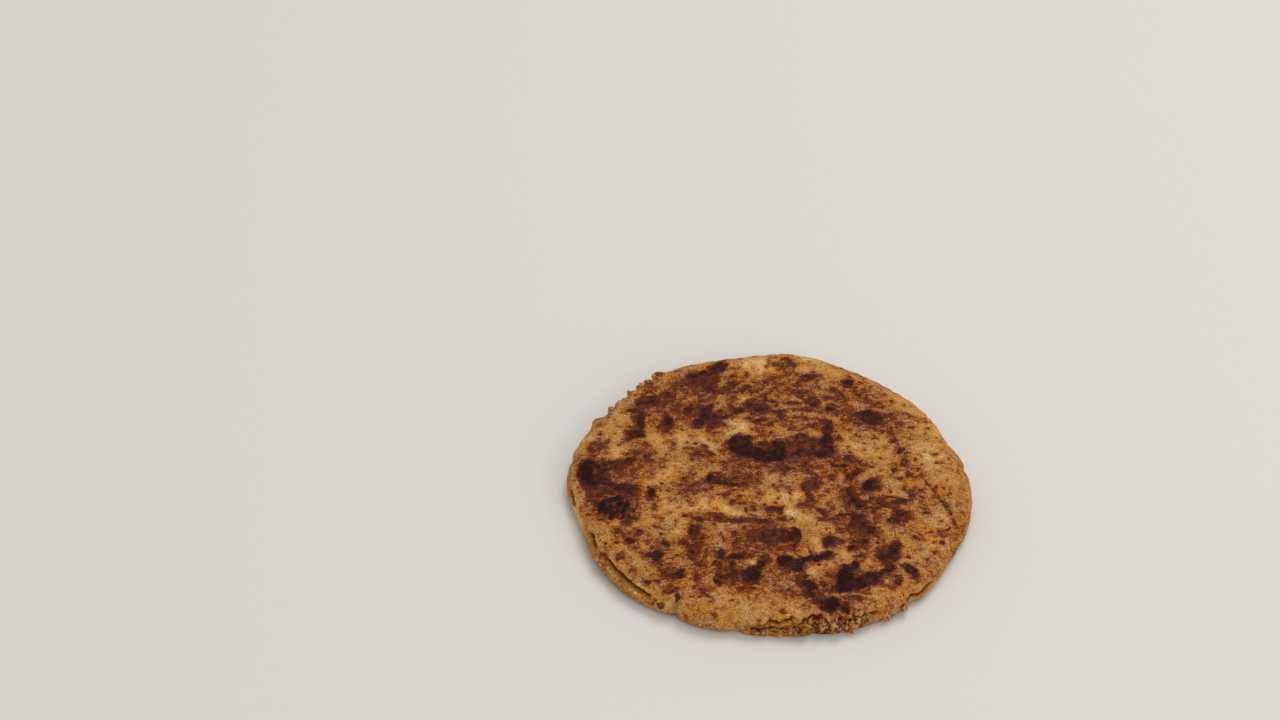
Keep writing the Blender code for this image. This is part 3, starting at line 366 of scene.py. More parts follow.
# Wide browned places with soft, mottled edges, given like the scorch marks.
WIDE_MARKS = (
    # Broad, lightly browned ground.
    (-31, 38, 17, 17, 0, 0.47), (-10, 42, 13, 10, 0, 0.47), (10, 43, 17, 9, 0, 0.46),
    (31, 35, 15, 10, -20, 0.46), (-50, -4, 15, 9, 80, 0.46), (30, -16, 18, 14, 0, 0.45),
    (-8, -38, 20, 13, 0, 0.44), (-32, -40, 12, 12, 0, 0.42), (26, -44, 18, 9, 10, 0.42),
    # Upper left.
    (-21, 50, 7.5, 4.4, 15, 0.72), (-15.5, 55, 3.8, 3.2, 45, 0.74), (-30, 46, 7, 4.4, 20, 0.6),
    (-39.5, 38, 7.5, 4.6, 10, 0.74), (-45.5, 31, 6, 3, 90, 0.7), (-47, 22, 4, 3.2, 0, 0.72),
    (-35.5, 26.5, 6, 3.2, 90, 0.76), (-25, 33, 6, 5, 0, 0.68), (-19.5, 27, 6, 3.8, 0, 0.68),
    (-33, 37.5, 6, 4, 0, 0.5), (-19.5, 46, 7, 4.2, 90, 0.76), (-42, 44, 4, 3, 40, 0.58),
    (-61, 14.5, 4.8, 3.8, 0, 0.54), (-41, 27, 4, 2.4, 90, 0.44), (-38, 53.5, 2.5, 2, 0, 0.5),
    (-23, 41.5, 4, 2.6, 0, 0.6), (-36, 21.8, 5, 2.6, 10, 0.56), (-18.5, 20.5, 3.4, 3, 0, 0.56),
    (-35, 21, 4, 2, 0, 0.54), (-45, 41, 4.5, 3.5, 35, 0.66), (-31, 29.5, 4, 3.5, 0, 0.6),
    (-16, 50.5, 2.5, 4.5, 0, 0.62), (-53, 26, 7, 3, 50, 0.4),
    # Top.
    (-12, 46, 5, 4.5, 0, 0.6), (-11, 33.5, 4.5, 4.2, 0, 0.68), (-3, 34, 6.5, 4.8, 0, 0.66),
    (2, 46, 12, 5, 0, 0.54), (10, 50.5, 6, 4.5, 0, 0.5), (10.5, 58.5, 3, 4, 0, 0.58),
    (17.5, 50.5, 5, 3.4, 0, 0.62), (17, 39, 6.5, 5.5, 0, 0.58), (26, 41.5, 7, 5, 0, 0.56),
    (31.5, 48, 3.5, 3, 90, 0.66), (37.5, 38, 6, 4, -60, 0.5), (38, 28.5, 8, 6, -15, 0.74),
    (28, 32, 8, 3.2, -5, 0.6), (46.5, 30, 6, 4, 0, 0.5), (21, 24.5, 6, 3.4, 0, 0.52),
    (10, 29, 8, 4, 0, 0.52), (-3, 28, 6, 3.5, 0, 0.58), (2, 39.5, 4, 4, 0, 0.52),
    (-14, 40, 5, 3, 0, 0.48), (43, 24, 7, 4.5, -40, 0.5), (13, 24, 8, 2.4, 0, 0.5),
    (17, 45.5, 4.5, 3.2, 0, 0.56), (30, 33.5, 4, 2.4, 0, 0.54), (39, 43.5, 4.5, 2.2, -40, 0.42),
    (50.5, 25.5, 5, 2.8, 50, 0.46), (-8.5, 53.5, 3, 3, 0, 0.36), (-12.5, 29.5, 4.2, 3, 0, 0.6),
    (1, 25.5, 5, 2.6, 0, 0.56), (10, 51, 4, 4, 0, 0.52), (41, 25, 4, 3, 0, 0.56),
    (30, 25, 3.4, 2.6, 0, 0.5), (22, 31, 4, 2.4, 0, 0.58), (43, 36.5, 4, 3, -45, 0.44),
    # Left.
    (-61.5, 1, 10.5, 6.4, 90, 0.76), (-62.5, -11, 7, 3.4, 100, 0.66), (-60, -18.5, 5, 3.4, 110, 0.64),
    (-66, 6.5, 4, 2.6, 90, 0.6), (-52, 4.5, 6, 4, 15, 0.72), (-50.5, -6.5, 6, 3.6, 0, 0.68),
    (-59.5, -11.5, 6.5, 5, 90, 0.62), (-54, -14, 6.5, 5, 0, 0.62), (-44.5, 9, 6, 4.2, 30, 0.6),
    (-41, -9, 3.4, 2.8, 90, 0.68), (-45, -18.5, 4, 3, 0, 0.44), (-60, -20, 4, 3, 90, 0.48),
    (-25, 8.6, 5, 3, 0, 0.58), (-33.5, 15.5, 3.6, 2.2, 90, 0.52), (-28.5, -4, 7.5, 6, 90, 0.55),
    (-45.5, 15, 4.5, 3.6, 0, 0.48), (-47, -11.5, 6, 3.6, 90, 0.74), (-50, -21.5, 4.2, 2.8, 80, 0.7),
    (-49.5, 0, 6.5, 3.4, 10, 0.64), (-40.5, -13.5, 3, 3, 0, 0.5), (-30, 9, 5, 3, 0, 0.42),
    (-22, 5.5, 4.5, 3, 0, 0.44), (-40, 5, 4, 2.2, 0, 0.44), (-27, -9, 5, 4, 0, 0.5),
    (-66.5, 7.5, 2, 4, 0, 0.46),
    # Middle.
    (-19, -2.5, 5.5, 3.4, 0, 0.7), (-12, -1.8, 9, 4.2, 0, 0.6), (-10, 4.5, 7, 4.5, 0, 0.54),
    (-8.8, 13.5, 7, 6.4, 0, 0.76), (2, 10.5, 8.5, 6, 0, 0.8), (13, 13.5, 9, 5.6, 0, 0.72),
    (20.8, 13.5, 7, 4.6, 90, 0.74), (0, 18, 6, 2.6, 0, 0.48), (24.5, 7, 6, 4, 0, 0.52),
    (29, 7, 3.6, 2.8, 0, 0.56), (28, 2.5, 6.5, 3.6, 0, 0.58), (15, -5, 5.2, 3.4, 40, 0.6),
    (11, -15.5, 4.5, 4.5, 0, 0.56), (12, -27, 5, 2.2, 90, 0.42), (21.5, -15.5, 3, 2.4, 90, 0.48),
    (17.5, -18, 6, 2.6, -40, 0.58), (-0.5, -16.8, 4, 2.4, 0, 0.6), (-11, -13, 5, 3, 0, 0.46),
    (12, 5.5, 8, 3.4, 0, 0.58), (5, 3, 6, 3.6, 10, 0.66), (-11, 4, 4.5, 4, 0, 0.56),
    (-3.5, -3, 2.6, 4.5, 0, 0.48), (-21, -19.5, 5, 2.6, -5, 0.5), (-9, -21.8, 10, 2.4, -2, 0.66),
    (6, -5, 6, 2, 0, 0.4), (-4, -8, 3, 3, 0, 0.42), (11.5, -16.3, 3, 2.4, 0, 0.5),
    (-19, -9, 5, 2, 0, 0.38),
    # Right.
    (27.8, -9.5, 6, 3.6, 90, 0.64), (34.8, -5.6, 4.8, 3.6, 20, 0.8), (30.5, -14, 7, 3.6, 0, 0.68),
    (41.5, -12.8, 8.5, 2.4, 0, 0.52), (43.8, -19, 4.6, 4.2, 0, 0.68), (28.5, -21, 7.5, 4.6, 0, 0.64),
    (31, -26, 6.5, 5, 0, 0.66), (36.5, -18.5, 6, 2.6, 0, 0.5), (47.5, 11, 4.5, 2.6, -70, 0.5),
    (46.5, 2.5, 5, 2.2, 90, 0.38), (45, 20.5, 5.5, 3.5, -70, 0.48), (50, -7.5, 3.5, 3, 0, 0.54),
    (20.5, -3, 5, 4, 0, 0.48), (53, -10.5, 6, 4, 30, 0.5), (52, -43.5, 8, 3, 45, 0.4),
    (36, -57.5, 9, 3, 20, 0.44), (47.5, -27, 5, 4, 0, 0.4), (38, 1.5, 7, 4, 0, 0.36),
    (53.5, -3, 7, 3.4, 90, 0.44), (20, -21.2, 4.6, 2, -10, 0.6), (63.5, -22.5, 5, 2, 72, 0.58),
    (60.5, -27.5, 4, 2.4, 60, 0.44), (24.5, -26.5, 4, 2.4, 0, 0.52), (65.5, -10, 10, 1.6, 85, 0.38),
    (43, -23.5, 6, 2.5, 0, 0.44),
    # Lower left.
    (-26.5, -24, 5, 2.4, 90, 0.54), (-23.5, -31, 6, 2, 90, 0.56), (-23.5, -40, 6, 2.2, 90, 0.54),
    (-25, -52, 3.6, 3.4, 0, 0.62), (-25, -57, 5, 4, 0, 0.42), (-26, -31, 8.5, 5, 90, 0.6),
    (-37.5, -32, 4, 2.4, -55, 0.5), (-40.5, -37, 4.2, 3, 0, 0.66), (-48.5, -28.5, 4.4, 3.2, -30, 0.58),
    (-34, -45.5, 4.5, 3.6, 0, 0.68), (-42, -46.5, 6, 4.5, -40, 0.44), (-34.5, -52, 4.8, 3.6, 0, 0.54),
    (-25.5, -42, 7, 4, 90, 0.52), (-42.5, -25.5, 3, 3.5, 0, 0.36), (-46.5, -26.5, 3.2, 2.6, 0, 0.52),
    (-29, -38, 3.4, 3, 0, 0.5), (-38.5, -41, 3, 2.4, 0, 0.56),
    # Lower middle.
    (0.8, -29, 10.2, 5.6, 0, 0.72), (-9.5, -30, 7, 5.5, 0, 0.62), (-14, -37, 8.5, 4.2, 0, 0.66),
    (-4.2, -40.5, 3.4, 2.6, 45, 0.64), (-12.5, -46.5, 9, 5.2, 0, 0.66), (-8, -46.5, 5, 4, 0, 0.76),
    (-17, -42, 5.5, 4, 0, 0.6), (4.5, -41, 6, 3.6, 0, 0.8), (12.5, -39.2, 8, 1.9, 15, 0.74),
    (9.5, -49.5, 5.5, 4, -60, 0.72), (12, -54.5, 5.5, 4, -40, 0.7), (17, -58, 5.6, 3.6, 0, 0.8),
    (24.5, -57, 5, 3.4, 0, 0.58), (0, -50, 8, 7, 0, 0.44), (-9.5, -52.5, 7, 3, 0, 0.42),
    (19, -31, 3.4, 3.2, 0, 0.72), (-12, -33.5, 6, 2.4, 0, 0.56), (-19, -30, 4, 4, 0, 0.36),
    (7, -33, 4, 2.4, 45, 0.64), (16, -51, 3.2, 3.2, 0, 0.64), (7, -54, 3.6, 3, 0, 0.54),
    (-1.5, -46, 3.5, 3.5, 0, 0.48), (1, -35, 8, 2.6, 0, 0.54),
    # Lower right.
    (23.5, -47.5, 6.6, 6, 0, 0.74), (32, -47, 7, 3.2, 15, 0.72), (38.5, -36.5, 6.5, 4.2, 60, 0.78),
    (45.2, -44.6, 3.4, 2.6, -50, 0.66), (40, -48, 3.4, 2.6, 0, 0.56), (28, -32.5, 6.5, 4.2, 0, 0.66),
    (29, -37.5, 4, 2.6, 0, 0.5), (34, -29.5, 5, 3, 0, 0.52),
    # Smaller browned places.
    (-27, 53.5, 3.4, 2.4, 20, 0.6), (8.5, 57, 2.2, 4, 0, 0.58), (2, 51, 4, 1.8, 0, 0.52),
    (-44, 42.5, 3, 2, 45, 0.54), (-35.5, 21.5, 2.6, 1.8, 0, 0.54), (-3, 22, 3, 2.4, 0, 0.54),
    (15, 34, 5, 1.8, -10, 0.56), (28.5, 43.5, 2.4, 2, 0, 0.62), (29, 36, 1.8, 3, 0, 0.52),
    (36.5, 43.5, 2.4, 1.8, 0, 0.56), (33, 19, 2.4, 2, 0, 0.46), (50.5, 20, 4, 3, 0, 0.42),
    (58, 19, 3.4, 3, 0, 0.42), (38, 14, 1.8, 3, 0, 0.42), (50.8, 3.8, 1.8, 1.8, 0, 0.5),
    (36, 6, 2, 3, 0, 0.44), (-36, 6, 2.2, 2.4, 0, 0.52), (-0.5, 6, 3, 2.4, 10, 0.62),
    (5, -6, 5, 2, 10, 0.46), (-3, -6, 2, 4, 0, 0.46), (14, 1, 5, 1.8, -15, 0.56),
    (30, -2.5, 1.8, 1.8, 0, 0.56), (32.5, -9, 1.6, 2, 0, 0.56), (-28, -6, 5, 3, 0, 0.52),
    (-27, -12, 3, 2.4, 0, 0.46), (-38, -21.5, 2, 3.6, 10, 0.5), (-12, -16, 2.4, 1.4, 0, 0.46),
    (11, -25, 2.2, 6, 10, 0.42), (7.5, -36, 2.4, 3, 0, 0.56), (11.5, -41, 2, 1.8, 0, 0.66),
    (17.5, -39, 2, 1.6, 20, 0.62), (47.5, -33, 2, 3, -20, 0.46), (-57, -2, 3, 4, 0, 0.62),
    (-63, -10, 4.5, 2.4, 105, 0.66), (-38.5, -49, 2.6, 1.8, 0, 0.52), (-47, -43.5, 3, 1.4, -40, 0.48),
    (-5, -54.5, 4, 2.4, 20, 0.4), (25.5, -58.5, 2.4, 3, 0, 0.52), (38, -57, 5, 2, 20, 0.44),
    (52, -41, 3, 4, 30, 0.42), (-25, -61, 6, 3, -10, 0.4), (62.5, -7, 2, 4, 0, 0.44),
    (-10.5, -39.5, 2, 1.2, 0, 0.6), (-42.5, 31.5, 2.4, 1.8, 0, 0.6), (-46.5, 4.5, 2.4, 2, 0, 0.54),
    (-67, 7.5, 1.6, 3.4, 0, 0.58), (-66, -5, 1.6, 5, 10, 0.54), (-33.5, 48, 2, 3, 0, 0.5),
    (-22, 38.5, 2.2, 2.6, 0, 0.66), (-17.3, 17, 1.8, 2.2, 0, 0.54), (-13, 23.5, 3.6, 1.8, 0, 0.44),
    (5, 26.5, 4, 1.6, -50, 0.56), (9.8, 22.5, 2.4, 1.6, 0, 0.56), (-2, 19, 3.4, 1.4, 0, 0.56),
    (24, 30, 2, 1.6, 0, 0.6), (43, 41.5, 2.6, 2, 0, 0.46), (52, 24.5, 3, 2, 10, 0.5),
    (61.5, 3, 3.6, 1.8, 10, 0.46), (62, 14.5, 2, 3, 0, 0.42), (61, -15, 2, 6, 5, 0.46),
    (14, 8, 4, 1.6, 0, 0.58), (-34, -7, 2.4, 1.6, 0, 0.46), (-24, -6.5, 5, 2, 0, 0.56),
    (-12.5, -7, 3.6, 1.6, 0, 0.52), (-27, -12.5, 2.6, 3, 0, 0.52), (-19, -16, 2.6, 1.6, 0, 0.48),
    (-5, -11, 2.4, 1.6, 0, 0.42), (20, -8, 2.4, 1.6, 0, 0.54), (52, -10.5, 2.6, 1.6, 0, 0.56),
    (-52.5, -17, 2.6, 1.4, 0, 0.64), (-57, -27, 1.6, 2, 0, 0.5), (-46.5, -33.5, 3.4, 1.8, 20, 0.52),
    (-21, -31.5, 1.4, 3.6, 0, 0.54), (-6.5, -23.5, 2.6, 1.6, 0, 0.6), (-15.5, -24, 1.8, 1.6, 0, 0.48),
    (-4.5, -34, 3, 1.6, 0, 0.66), (23, -26, 3, 1.6, -50, 0.56), (48.5, -19, 2, 3, 0, 0.48),
    (50, -29.5, 2, 1.8, 0, 0.5), (-47, -45, 3, 1.6, -40, 0.58), (-3.5, -49, 1.6, 3, -20, 0.6),
    (28, -53, 3.4, 1.8, 0, 0.54), (26, -59, 2.8, 2.2, 0, 0.68), (34.5, -57.5, 5, 2.4, 10, 0.58),
    (42.5, -52, 3, 2, 20, 0.54), (61, -34, 1.8, 4, -30, 0.44), (64.5, -25, 1.6, 4, -10, 0.44),
    (-26, 55, 3, 1.6, 20, 0.52), (-43, 43, 3, 2, 40, 0.6), (-32, 44, 2, 4, 0, 0.58),
    (5, 51.5, 4, 1.8, -10, 0.58), (40.5, 22, 2.6, 1.6, 0, 0.62), (29.5, 23, 2.4, 2, 0, 0.56),
    (31.5, 18, 1.8, 2.4, 0, 0.5), (24.6, 13, 1.4, 3, 0, 0.66), (-1, 5, 3, 2, 20, 0.68),
    (-3, 0, 1.6, 3, 0, 0.52), (4.5, -1, 2, 1.6, 0, 0.52), (5, -7, 5, 1.8, -5, 0.56),
    (-30, -8.5, 4, 1.8, -25, 0.54), (-14, -12, 4, 2.4, -30, 0.46), (-27, -19, 1.8, 2.2, 0, 0.54),
    (-36, -25, 3.4, 1.6, -10, 0.52), (-42, -31, 1.8, 3, 0, 0.5), (6, -33, 6, 1.6, 0, 0.62),
    (-41, 47, 2.4, 2, 40, 0.56), (-33, 47.5, 2.2, 2.4, 0, 0.58), (-60, 19, 2, 1.8, 0, 0.52),
    (-35.5, 21.5, 3, 1.4, 0, 0.6), (-33, 32.5, 2.2, 2.2, 0, 0.62), (-12, 10, 2, 2, 0, 0.68),
    (0, 19, 3, 1.4, 0, 0.6), (10, 23.5, 3, 1.4, 20, 0.62), (18, 22, 1.6, 1.8, 0, 0.6),
    (48, 25.5, 7, 1.8, 15, 0.54), (15, 8.5, 4, 1.6, 0, 0.64), (-26.5, -11, 3, 1.6, 0, 0.56),
    (-10.5, -14, 1.8, 2, 0, 0.54), (33, -9, 2, 1.6, 0, 0.64), (35.5, -20, 2.6, 1.4, -20, 0.6),
    (-8, -22.5, 3, 1.4, 0, 0.6), (-0.5, -33, 3, 1.8, 30, 0.66), (11, -27, 1.8, 2.4, 0, 0.54),
    (-57, -36, 2.4, 1.8, -50, 0.44), (-23, -36, 1.6, 4, 0, 0.58), (42, -55, 3.4, 2, 30, 0.54),
    (48, -45, 2.2, 1.6, 0, 0.6), (-13, 37, 2.6, 1.6, -20, 0.56), (-26, 19, 1.8, 2.4, 0, 0.54),
    (-12.5, 11, 2, 2, 0, 0.6), (-37, 4, 2.4, 1.6, 30, 0.54), (22, -23, 3, 1.6, -60, 0.54),
    (28, -3, 4, 1.6, 25, 0.56), (33, -58, 8, 1.8, 8, 0.62), (27, -59, 3, 1.6, 0, 0.62),
    (9, -59, 2.6, 1.8, 0, 0.48), (57, 3, 1.8, 3.4, 0, 0.44), (-33, 46.5, 1.8, 3.4, 0, 0.62),
    (-40.5, 46.5, 2, 1.8, 0, 0.64), (-44, 41, 3, 1.6, 40, 0.54), (-25.5, 55, 3, 1.4, 20, 0.56),
    (29, 44, 2, 1.6, 0, 0.6), (57, -35.5, 3, 1.6, 50, 0.54), (63.5, -23, 1.6, 3, 0, 0.52),
    (-10.5, -41, 2.4, 1.8, 0, 0.62), (-65.5, -4.5, 2, 4, 20, 0.7), (42.5, -50, 2.4, 1.6, 0, 0.58),
    (-63.5, -11, 1.8, 6, 12, 0.62), (34, -57, 6, 1.6, 8, 0.66), (-58, 28, 2, 5, -30, 0.5),
)

# The palest places of the top, given the same way but with how much paler they are.
PALE_PLACES = (
    (-10, 25.5, 6.5, 3.8, 0, 0.18), (-37, 17, 5, 5, 0, 0.1), (-29, 18.5, 7, 3, 0, 0.1),
    (-53, 27, 6, 6, 0, 0.08), (-53, 12.5, 3.5, 4, 0, 0.12), (35.5, 15, 9, 8, 0, 0.07),
    (57, 10.5, 8, 5, 80, 0.16), (62.5, -1, 9, 3.6, 80, 0.1), (60, -18, 7, 4, 70, 0.04),
    (4, -10.5, 7, 3.2, 0, 0.16), (9.5, -19.5, 6, 3.6, -40, 0.18), (13, -28, 7.5, 4, 90, 0.08),
    (-13.5, -16.5, 6.5, 2.4, -20, 0.16), (-22, -12, 6, 2.6, 0, 0.1), (-37, -16, 10, 5, 90, 0.05),
    (43.5, -7, 4, 3.5, 0, 0.06), (22.5, -37, 4, 2.6, 0, 0.1), (13, -43.5, 4.5, 3, 30, 0.14),
    (-35.5, -26, 4.5, 3.5, 0, 0.08), (-8.5, -41, 3, 1.6, 20, 0.14), (-5, 58.5, 8, 5, 0, 0.2),
    (26, 55.5, 9, 3.5, -30, 0.12), (-45, 52, 8, 3, 40, 0.06), (50, 39, 9, 3, -52, 0.14),
    (60, 23, 8, 3, -68, 0.14), (-33, 5, 6, 4, 90, 0.06), (-68, -4, 14, 2.2, 92, 0.1),
    (-25, 58.5, 6, 2, 20, 0.1), (-22, 16.5, 5, 2, 0, 0.08), (-36.5, -1, 4, 3, 0, 0.06),
    (-43, -22, 3, 3.5, 0, 0.05), (-45, -40.5, 5, 3, -50, 0.05), (-17, -25.5, 3, 3, 0, 0.04),
    (1.5, 55.5, 5, 3, 0, 0.14), (17, 60, 5, 2.4, -15, 0.14), (55, 11.5, 6, 2.6, -18, 0.18),
    (28.5, 13.5, 3, 3.4, 0, 0.2), (-23.5, 14.2, 8.5, 2.6, -12, 0.18), (-24, -16.5, 5, 2.6, 0, 0.22),
    (-11, -18.6, 7, 1.6, 0, 0.12), (5.5, -20, 3, 7, 20, 0.18), (32, -62, 6, 2.4, 15, 0.2),
    (-9, 21.5, 5, 2.2, 0, 0.12), (-40, 15.5, 4, 2.4, 0, 0.08), (-33, 0, 4, 5, 0, 0.06),
    (-70, -11, 10, 2.4, 100, 0.2), (-8, -66.5, 6, 1.6, 0, 0.1), (23.5, -41, 4, 2.2, 0, 0.1),
    (43, -31, 3, 4, 0, 0.06), (-7.5, 37.8, 2.6, 1.8, 0, 0.14), (6, 40.5, 2, 3, 0, 0.1),
    (-51, 11, 3, 4, 0, 0.06), (12.5, -33, 4, 2.4, 0, 0.08), (-7.5, 39.5, 3, 2.4, 0, 0.24),
    (-10.5, -8.5, 3, 1.6, 0, 0.12), (-35, 46, 3, 2, 0, 0.08), (2, 57, 2.4, 3, 0, 0.16),
    (16.5, 54.5, 2.8, 5, 0, 0.16), (21, 44, 3, 3, 0, 0.08), (34.5, 35, 2.4, 3.5, 0, 0.12),
    (19, 28, 6, 1.6, 0, 0.12), (50, 31, 2.5, 2.5, 0, 0.1), (57, 25.5, 3, 2, 0, 0.1),
    (46, 4, 1.6, 6, 0, 0.12), (18.5, 19.5, 2.6, 1.8, 0, 0.14), (-29, 23, 2, 3.5, 20, 0.1),
    (-17.5, 12.5, 2, 2.2, 0, 0.1), (-12, 20.5, 4, 1.6, 20, 0.08), (-60, 7.5, 1.6, 1.8, 0, 0.14),
    (-22, 0.5, 3, 1.4, 0, 0.1), (-41, -5, 4.5, 2.4, -30, 0.12), (-45, -12, 2, 2, 0, 0.16),
    (21, -11, 2, 1.6, 0, 0.12), (18.5, -27, 2.6, 2.4, 0, 0.18), (48.8, -17.5, 2, 3, 0, 0.12),
    (53, -27, 3, 3, -50, 0.06), (30.5, -43, 2.4, 1.6, 0, 0.12), (44, -39.8, 2, 1.6, 0, 0.12),
    (-27, -52, 2.4, 1.8, 0, 0.1), (-33, -36, 1.8, 2.2, 0, 0.1), (-17, -33.5, 2.2, 2.4, 0, 0.14),
    (12, -48, 2, 2, 0, 0.1), (-52, -39, 2.4, 2.4, 0, 0.1), (-43, -39, 2, 2, 0, 0.1),
    (-22, 27, 1.8, 4, 20, 0.1), (-6, -38, 1.8, 1.6, 0, 0.1), (-53, -25, 3, 2, 0, 0.08),
    (-60, 8.5, 2, 2.4, 0, 0.12), (-50, 8.5, 2, 3, 20, 0.1), (-37.5, 38, 2.8, 1.8, 0, 0.14),
    (-47, 22, 4, 2.4, 20, 0.12), (-30, 22, 1.8, 2, 0, 0.1), (-15, 56.5, 3, 2, 0, 0.22),
    (-25, 47, 4, 2, 0, 0.1), (-11, 44, 2, 4, 20, 0.12), (-5.5, 52, 1.6, 4, 10, 0.1),
    (3.5, 57, 3, 1.6, -15, 0.12), (-21.5, 29, 3, 2.4, -30, 0.14), (-16, 34, 3.4, 1.6, 30, 0.12),
    (-9.5, 35, 1.8, 3, 0, 0.12), (-1, 35.5, 1.8, 1.8, 0, 0.12), (8, 43, 3, 2, 0, 0.12),
    (6.8, 34, 1.4, 4, 0, 0.14), (13.5, 29.5, 2, 1.6, 0, 0.12), (29, 48, 2.4, 1.8, 0, 0.14),
    (22, 25.5, 1.6, 2.4, 20, 0.14), (30.5, 28.5, 2.6, 1.4, 0, 0.14), (21, 18, 2, 1.8, 0, 0.12),
    (-9, 19.5, 2.6, 2, 0, 0.18), (-22, 13.5, 1.8, 2.4, 0, 0.14), (-4.5, 12.5, 4, 1.8, 0, 0.14),
    (-22, -1.2, 5.6, 1.6, -5, 0.22), (-16, 5.5, 2, 1.8, 0, 0.1), (1.2, -1.5, 1.4, 3.6, 0, 0.14),
    (16, 3, 4, 2.2, 20, 0.1), (28, 4.5, 3, 2, 0, 0.12), (47, 7, 2, 2.6, 0, 0.1),
    (56.5, 10.5, 3, 1.4, -10, 0.12), (-42, -8.5, 3, 2.4, 30, 0.14), (-36, -11.5, 2.6, 1.6, 0, 0.1),
    (-68.5, -12, 1.8, 6, 15, 0.2), (-54.5, -21.5, 3, 1.8, -20, 0.12), (-47.5, -25.5, 3.6, 1.8, 0, 0.12),
    (-30, -23.5, 3, 1.4, -20, 0.12), (-33, -17.5, 2.6, 2, 0, 0.1), (1, -14.5, 3.6, 1.6, 0, 0.14),
    (7.5, -10.5, 2.6, 1.6, -20, 0.12), (17.5, -16.5, 2, 2, 0, 0.12), (30, -20, 2.4, 2.4, 0, 0.1),
    (39, -11, 5.4, 1.6, 0, 0.2), (18.5, -29, 2, 1.8, 0, 0.2), (53.5, -33, 1.8, 4, -20, 0.14),
    (50, -38.5, 2.4, 2, 0, 0.14), (43.5, -39, 2.4, 1.8, 0, 0.12), (42, -33, 1.4, 2, 0, 0.12),
    (34.5, -34, 2.4, 2.4, 0, 0.1), (-14.5, -36.5, 3.2, 2, 0, 0.18), (-33, -44.5, 3, 2, 0, 0.18),
    (-19, -46, 5, 1.6, 0, 0.1), (-6, -42.5, 3, 1.6, 30, 0.14), (-52.5, -39, 2, 2, 0, 0.1),
    (-42.5, -38.5, 2, 1.8, 0, 0.12), (-46, -51.5, 3, 2, -20, 0.28), (-20.5, -50, 1.6, 2, 0, 0.12),
    (-15, -56.5, 1.8, 2.4, 0, 0.12), (13, -51.5, 2.4, 2, 0, 0.12), (13, -41.5, 2, 1.8, 0, 0.14),
    (21, -63, 2.4, 2.4, 0, 0.24), (2, 43, 4, 3, 0, 0.06), (22, 38.5, 4, 2.4, 0, 0.08),
    (-21.5, 28, 3.5, 3, -20, 0.12), (20, 5, 2.6, 2, 0, 0.12), (29, -21.5, 3, 3, 0, 0.14),
    (35.5, -14, 1.6, 3.4, 0, 0.12), (26, -37, 1.6, 5, 0, 0.12), (24, -42.5, 3, 1.6, 0, 0.14),
    (11, -46, 2, 3, 0, 0.12), (-8, -45, 4, 3, 45, 0.14), (-58, -31, 4, 2, -50, 0.16),
    (-51, -39.5, 3, 1.6, -30, 0.08), (33, -62, 4, 1.6, 10, 0.34), (57, -31.5, 2.6, 3, 0, 0.22),
    (24.5, -2, 2.4, 1.8, 0, 0.16), (56.5, 4, 2, 2, 0, 0.14), (5.5, -19, 2.4, 1.4, -50, 0.14),
    (-61, 8, 2, 3, 0, 0.1), (7.5, -60, 2.6, 1.8, 0, 0.12), (57.5, -22, 1.8, 4, 0, 0.12),
    (-20, -57.5, 4, 1.6, 10, 0.1), (3.5, 57, 3, 1.8, -15, 0.1), (-40, -18, 4, 1.4, 10, 0.08),
    (-33, -58, 2, 4, 0, 0.12), (-62, 2, 1.8, 3, 0, 0.1), (-41, 16, 3, 1.6, 20, 0.1),
    (-31, 4, 1.6, 3, 0, 0.08), (-69, -12, 1.6, 5, 15, 0.14), (-55, -40, 3, 3, -40, 0.14),
    (-47, -50, 4, 2.4, -50, 0.26), (-41, -60, 4, 2, -30, 0.16), (-21.5, 28.5, 3, 3, 0, 0.1),
    (12.5, -65.5, 2, 2.6, 0, 0.12), (47, -54, 3, 1.4, 35, 0.12), (-3, -69, 6, 1.6, 0, 0.1),
    (-15.5, 57, 2, 1.6, 0, 0.1), (8, -10, 2, 1.6, 0, 0.1), (-8, -43.5, 4, 3, 45, 0.1),
    (-3, 12.5, 5, 1.6, 0, 0.1),
)

# Browner and paler stretches of the edge: angle, change on the rim, change on the side, half width.
# Most are the crust's own browning; the darker side near 288 and 291.5 degrees is painted shade under the
# front edge, and the paler stretch at 235.5 degrees is painted light over the shade at a crack's end.
EDGE_PLACES = (
    (174, 0.12, 0, 3), (180.5, 0.06, 0, 3), (189, -0.06, 0, 4), (212, 0.06, 0.04, 3),
    (145, -0.14, 0, 3), (165, -0.12, 0, 4), (333, 0.09, 0.08, 6), (343, 0.13, 0.06, 10),
    (323, 0.08, 0, 4), (193, 0.06, -0.26, 8), (268, 0, 0.07, 7), (288, 0.03, 0.16, 6),
    (250, 0.05, 0.03, 6), (8, 0.08, -0.04, 9), (212, 0.05, 0.04, 4), (116, 0.02, 0, 4),
    (65, 0.12, 0, 4), (42, 0.06, 0, 6), (73, -0.12, 0, 4), (100, 0.08, 0, 4), (22, -0.04, 0, 4),
    (297.5, -0.05, -0.08, 4), (263, -0.05, 0.08, 5), (87, -0.08, 0, 3), (291.5, 0, 0.12, 4),
    (235.5, -0.06, -0.08, 3), (152, 0.08, 0, 6),
)

# Levels of browning, from 0 for pale dough to 1 for black.
PLAIN_LEVEL = 0.30
SIDE_LEVEL = 0.32
DARKEST_WIDE = 0.80

# Edges of the marks, and the light browning that spreads round the scorch marks.
WIDE_INSIDE, WIDE_OUTSIDE = 0.30, 1.45
JOINING_POWER = 5.0
EDGE_SOFTNESS = 0.32
EDGE_GROWTH = 0.70
GLOW_REACH = 2.3
GLOW_LEVEL = 0.54
GLOW_SHARE = 0.55
ASHY_DARKNESS = (0.60, 0.80)
ASHY_SIZES = (1.2, 2.6)

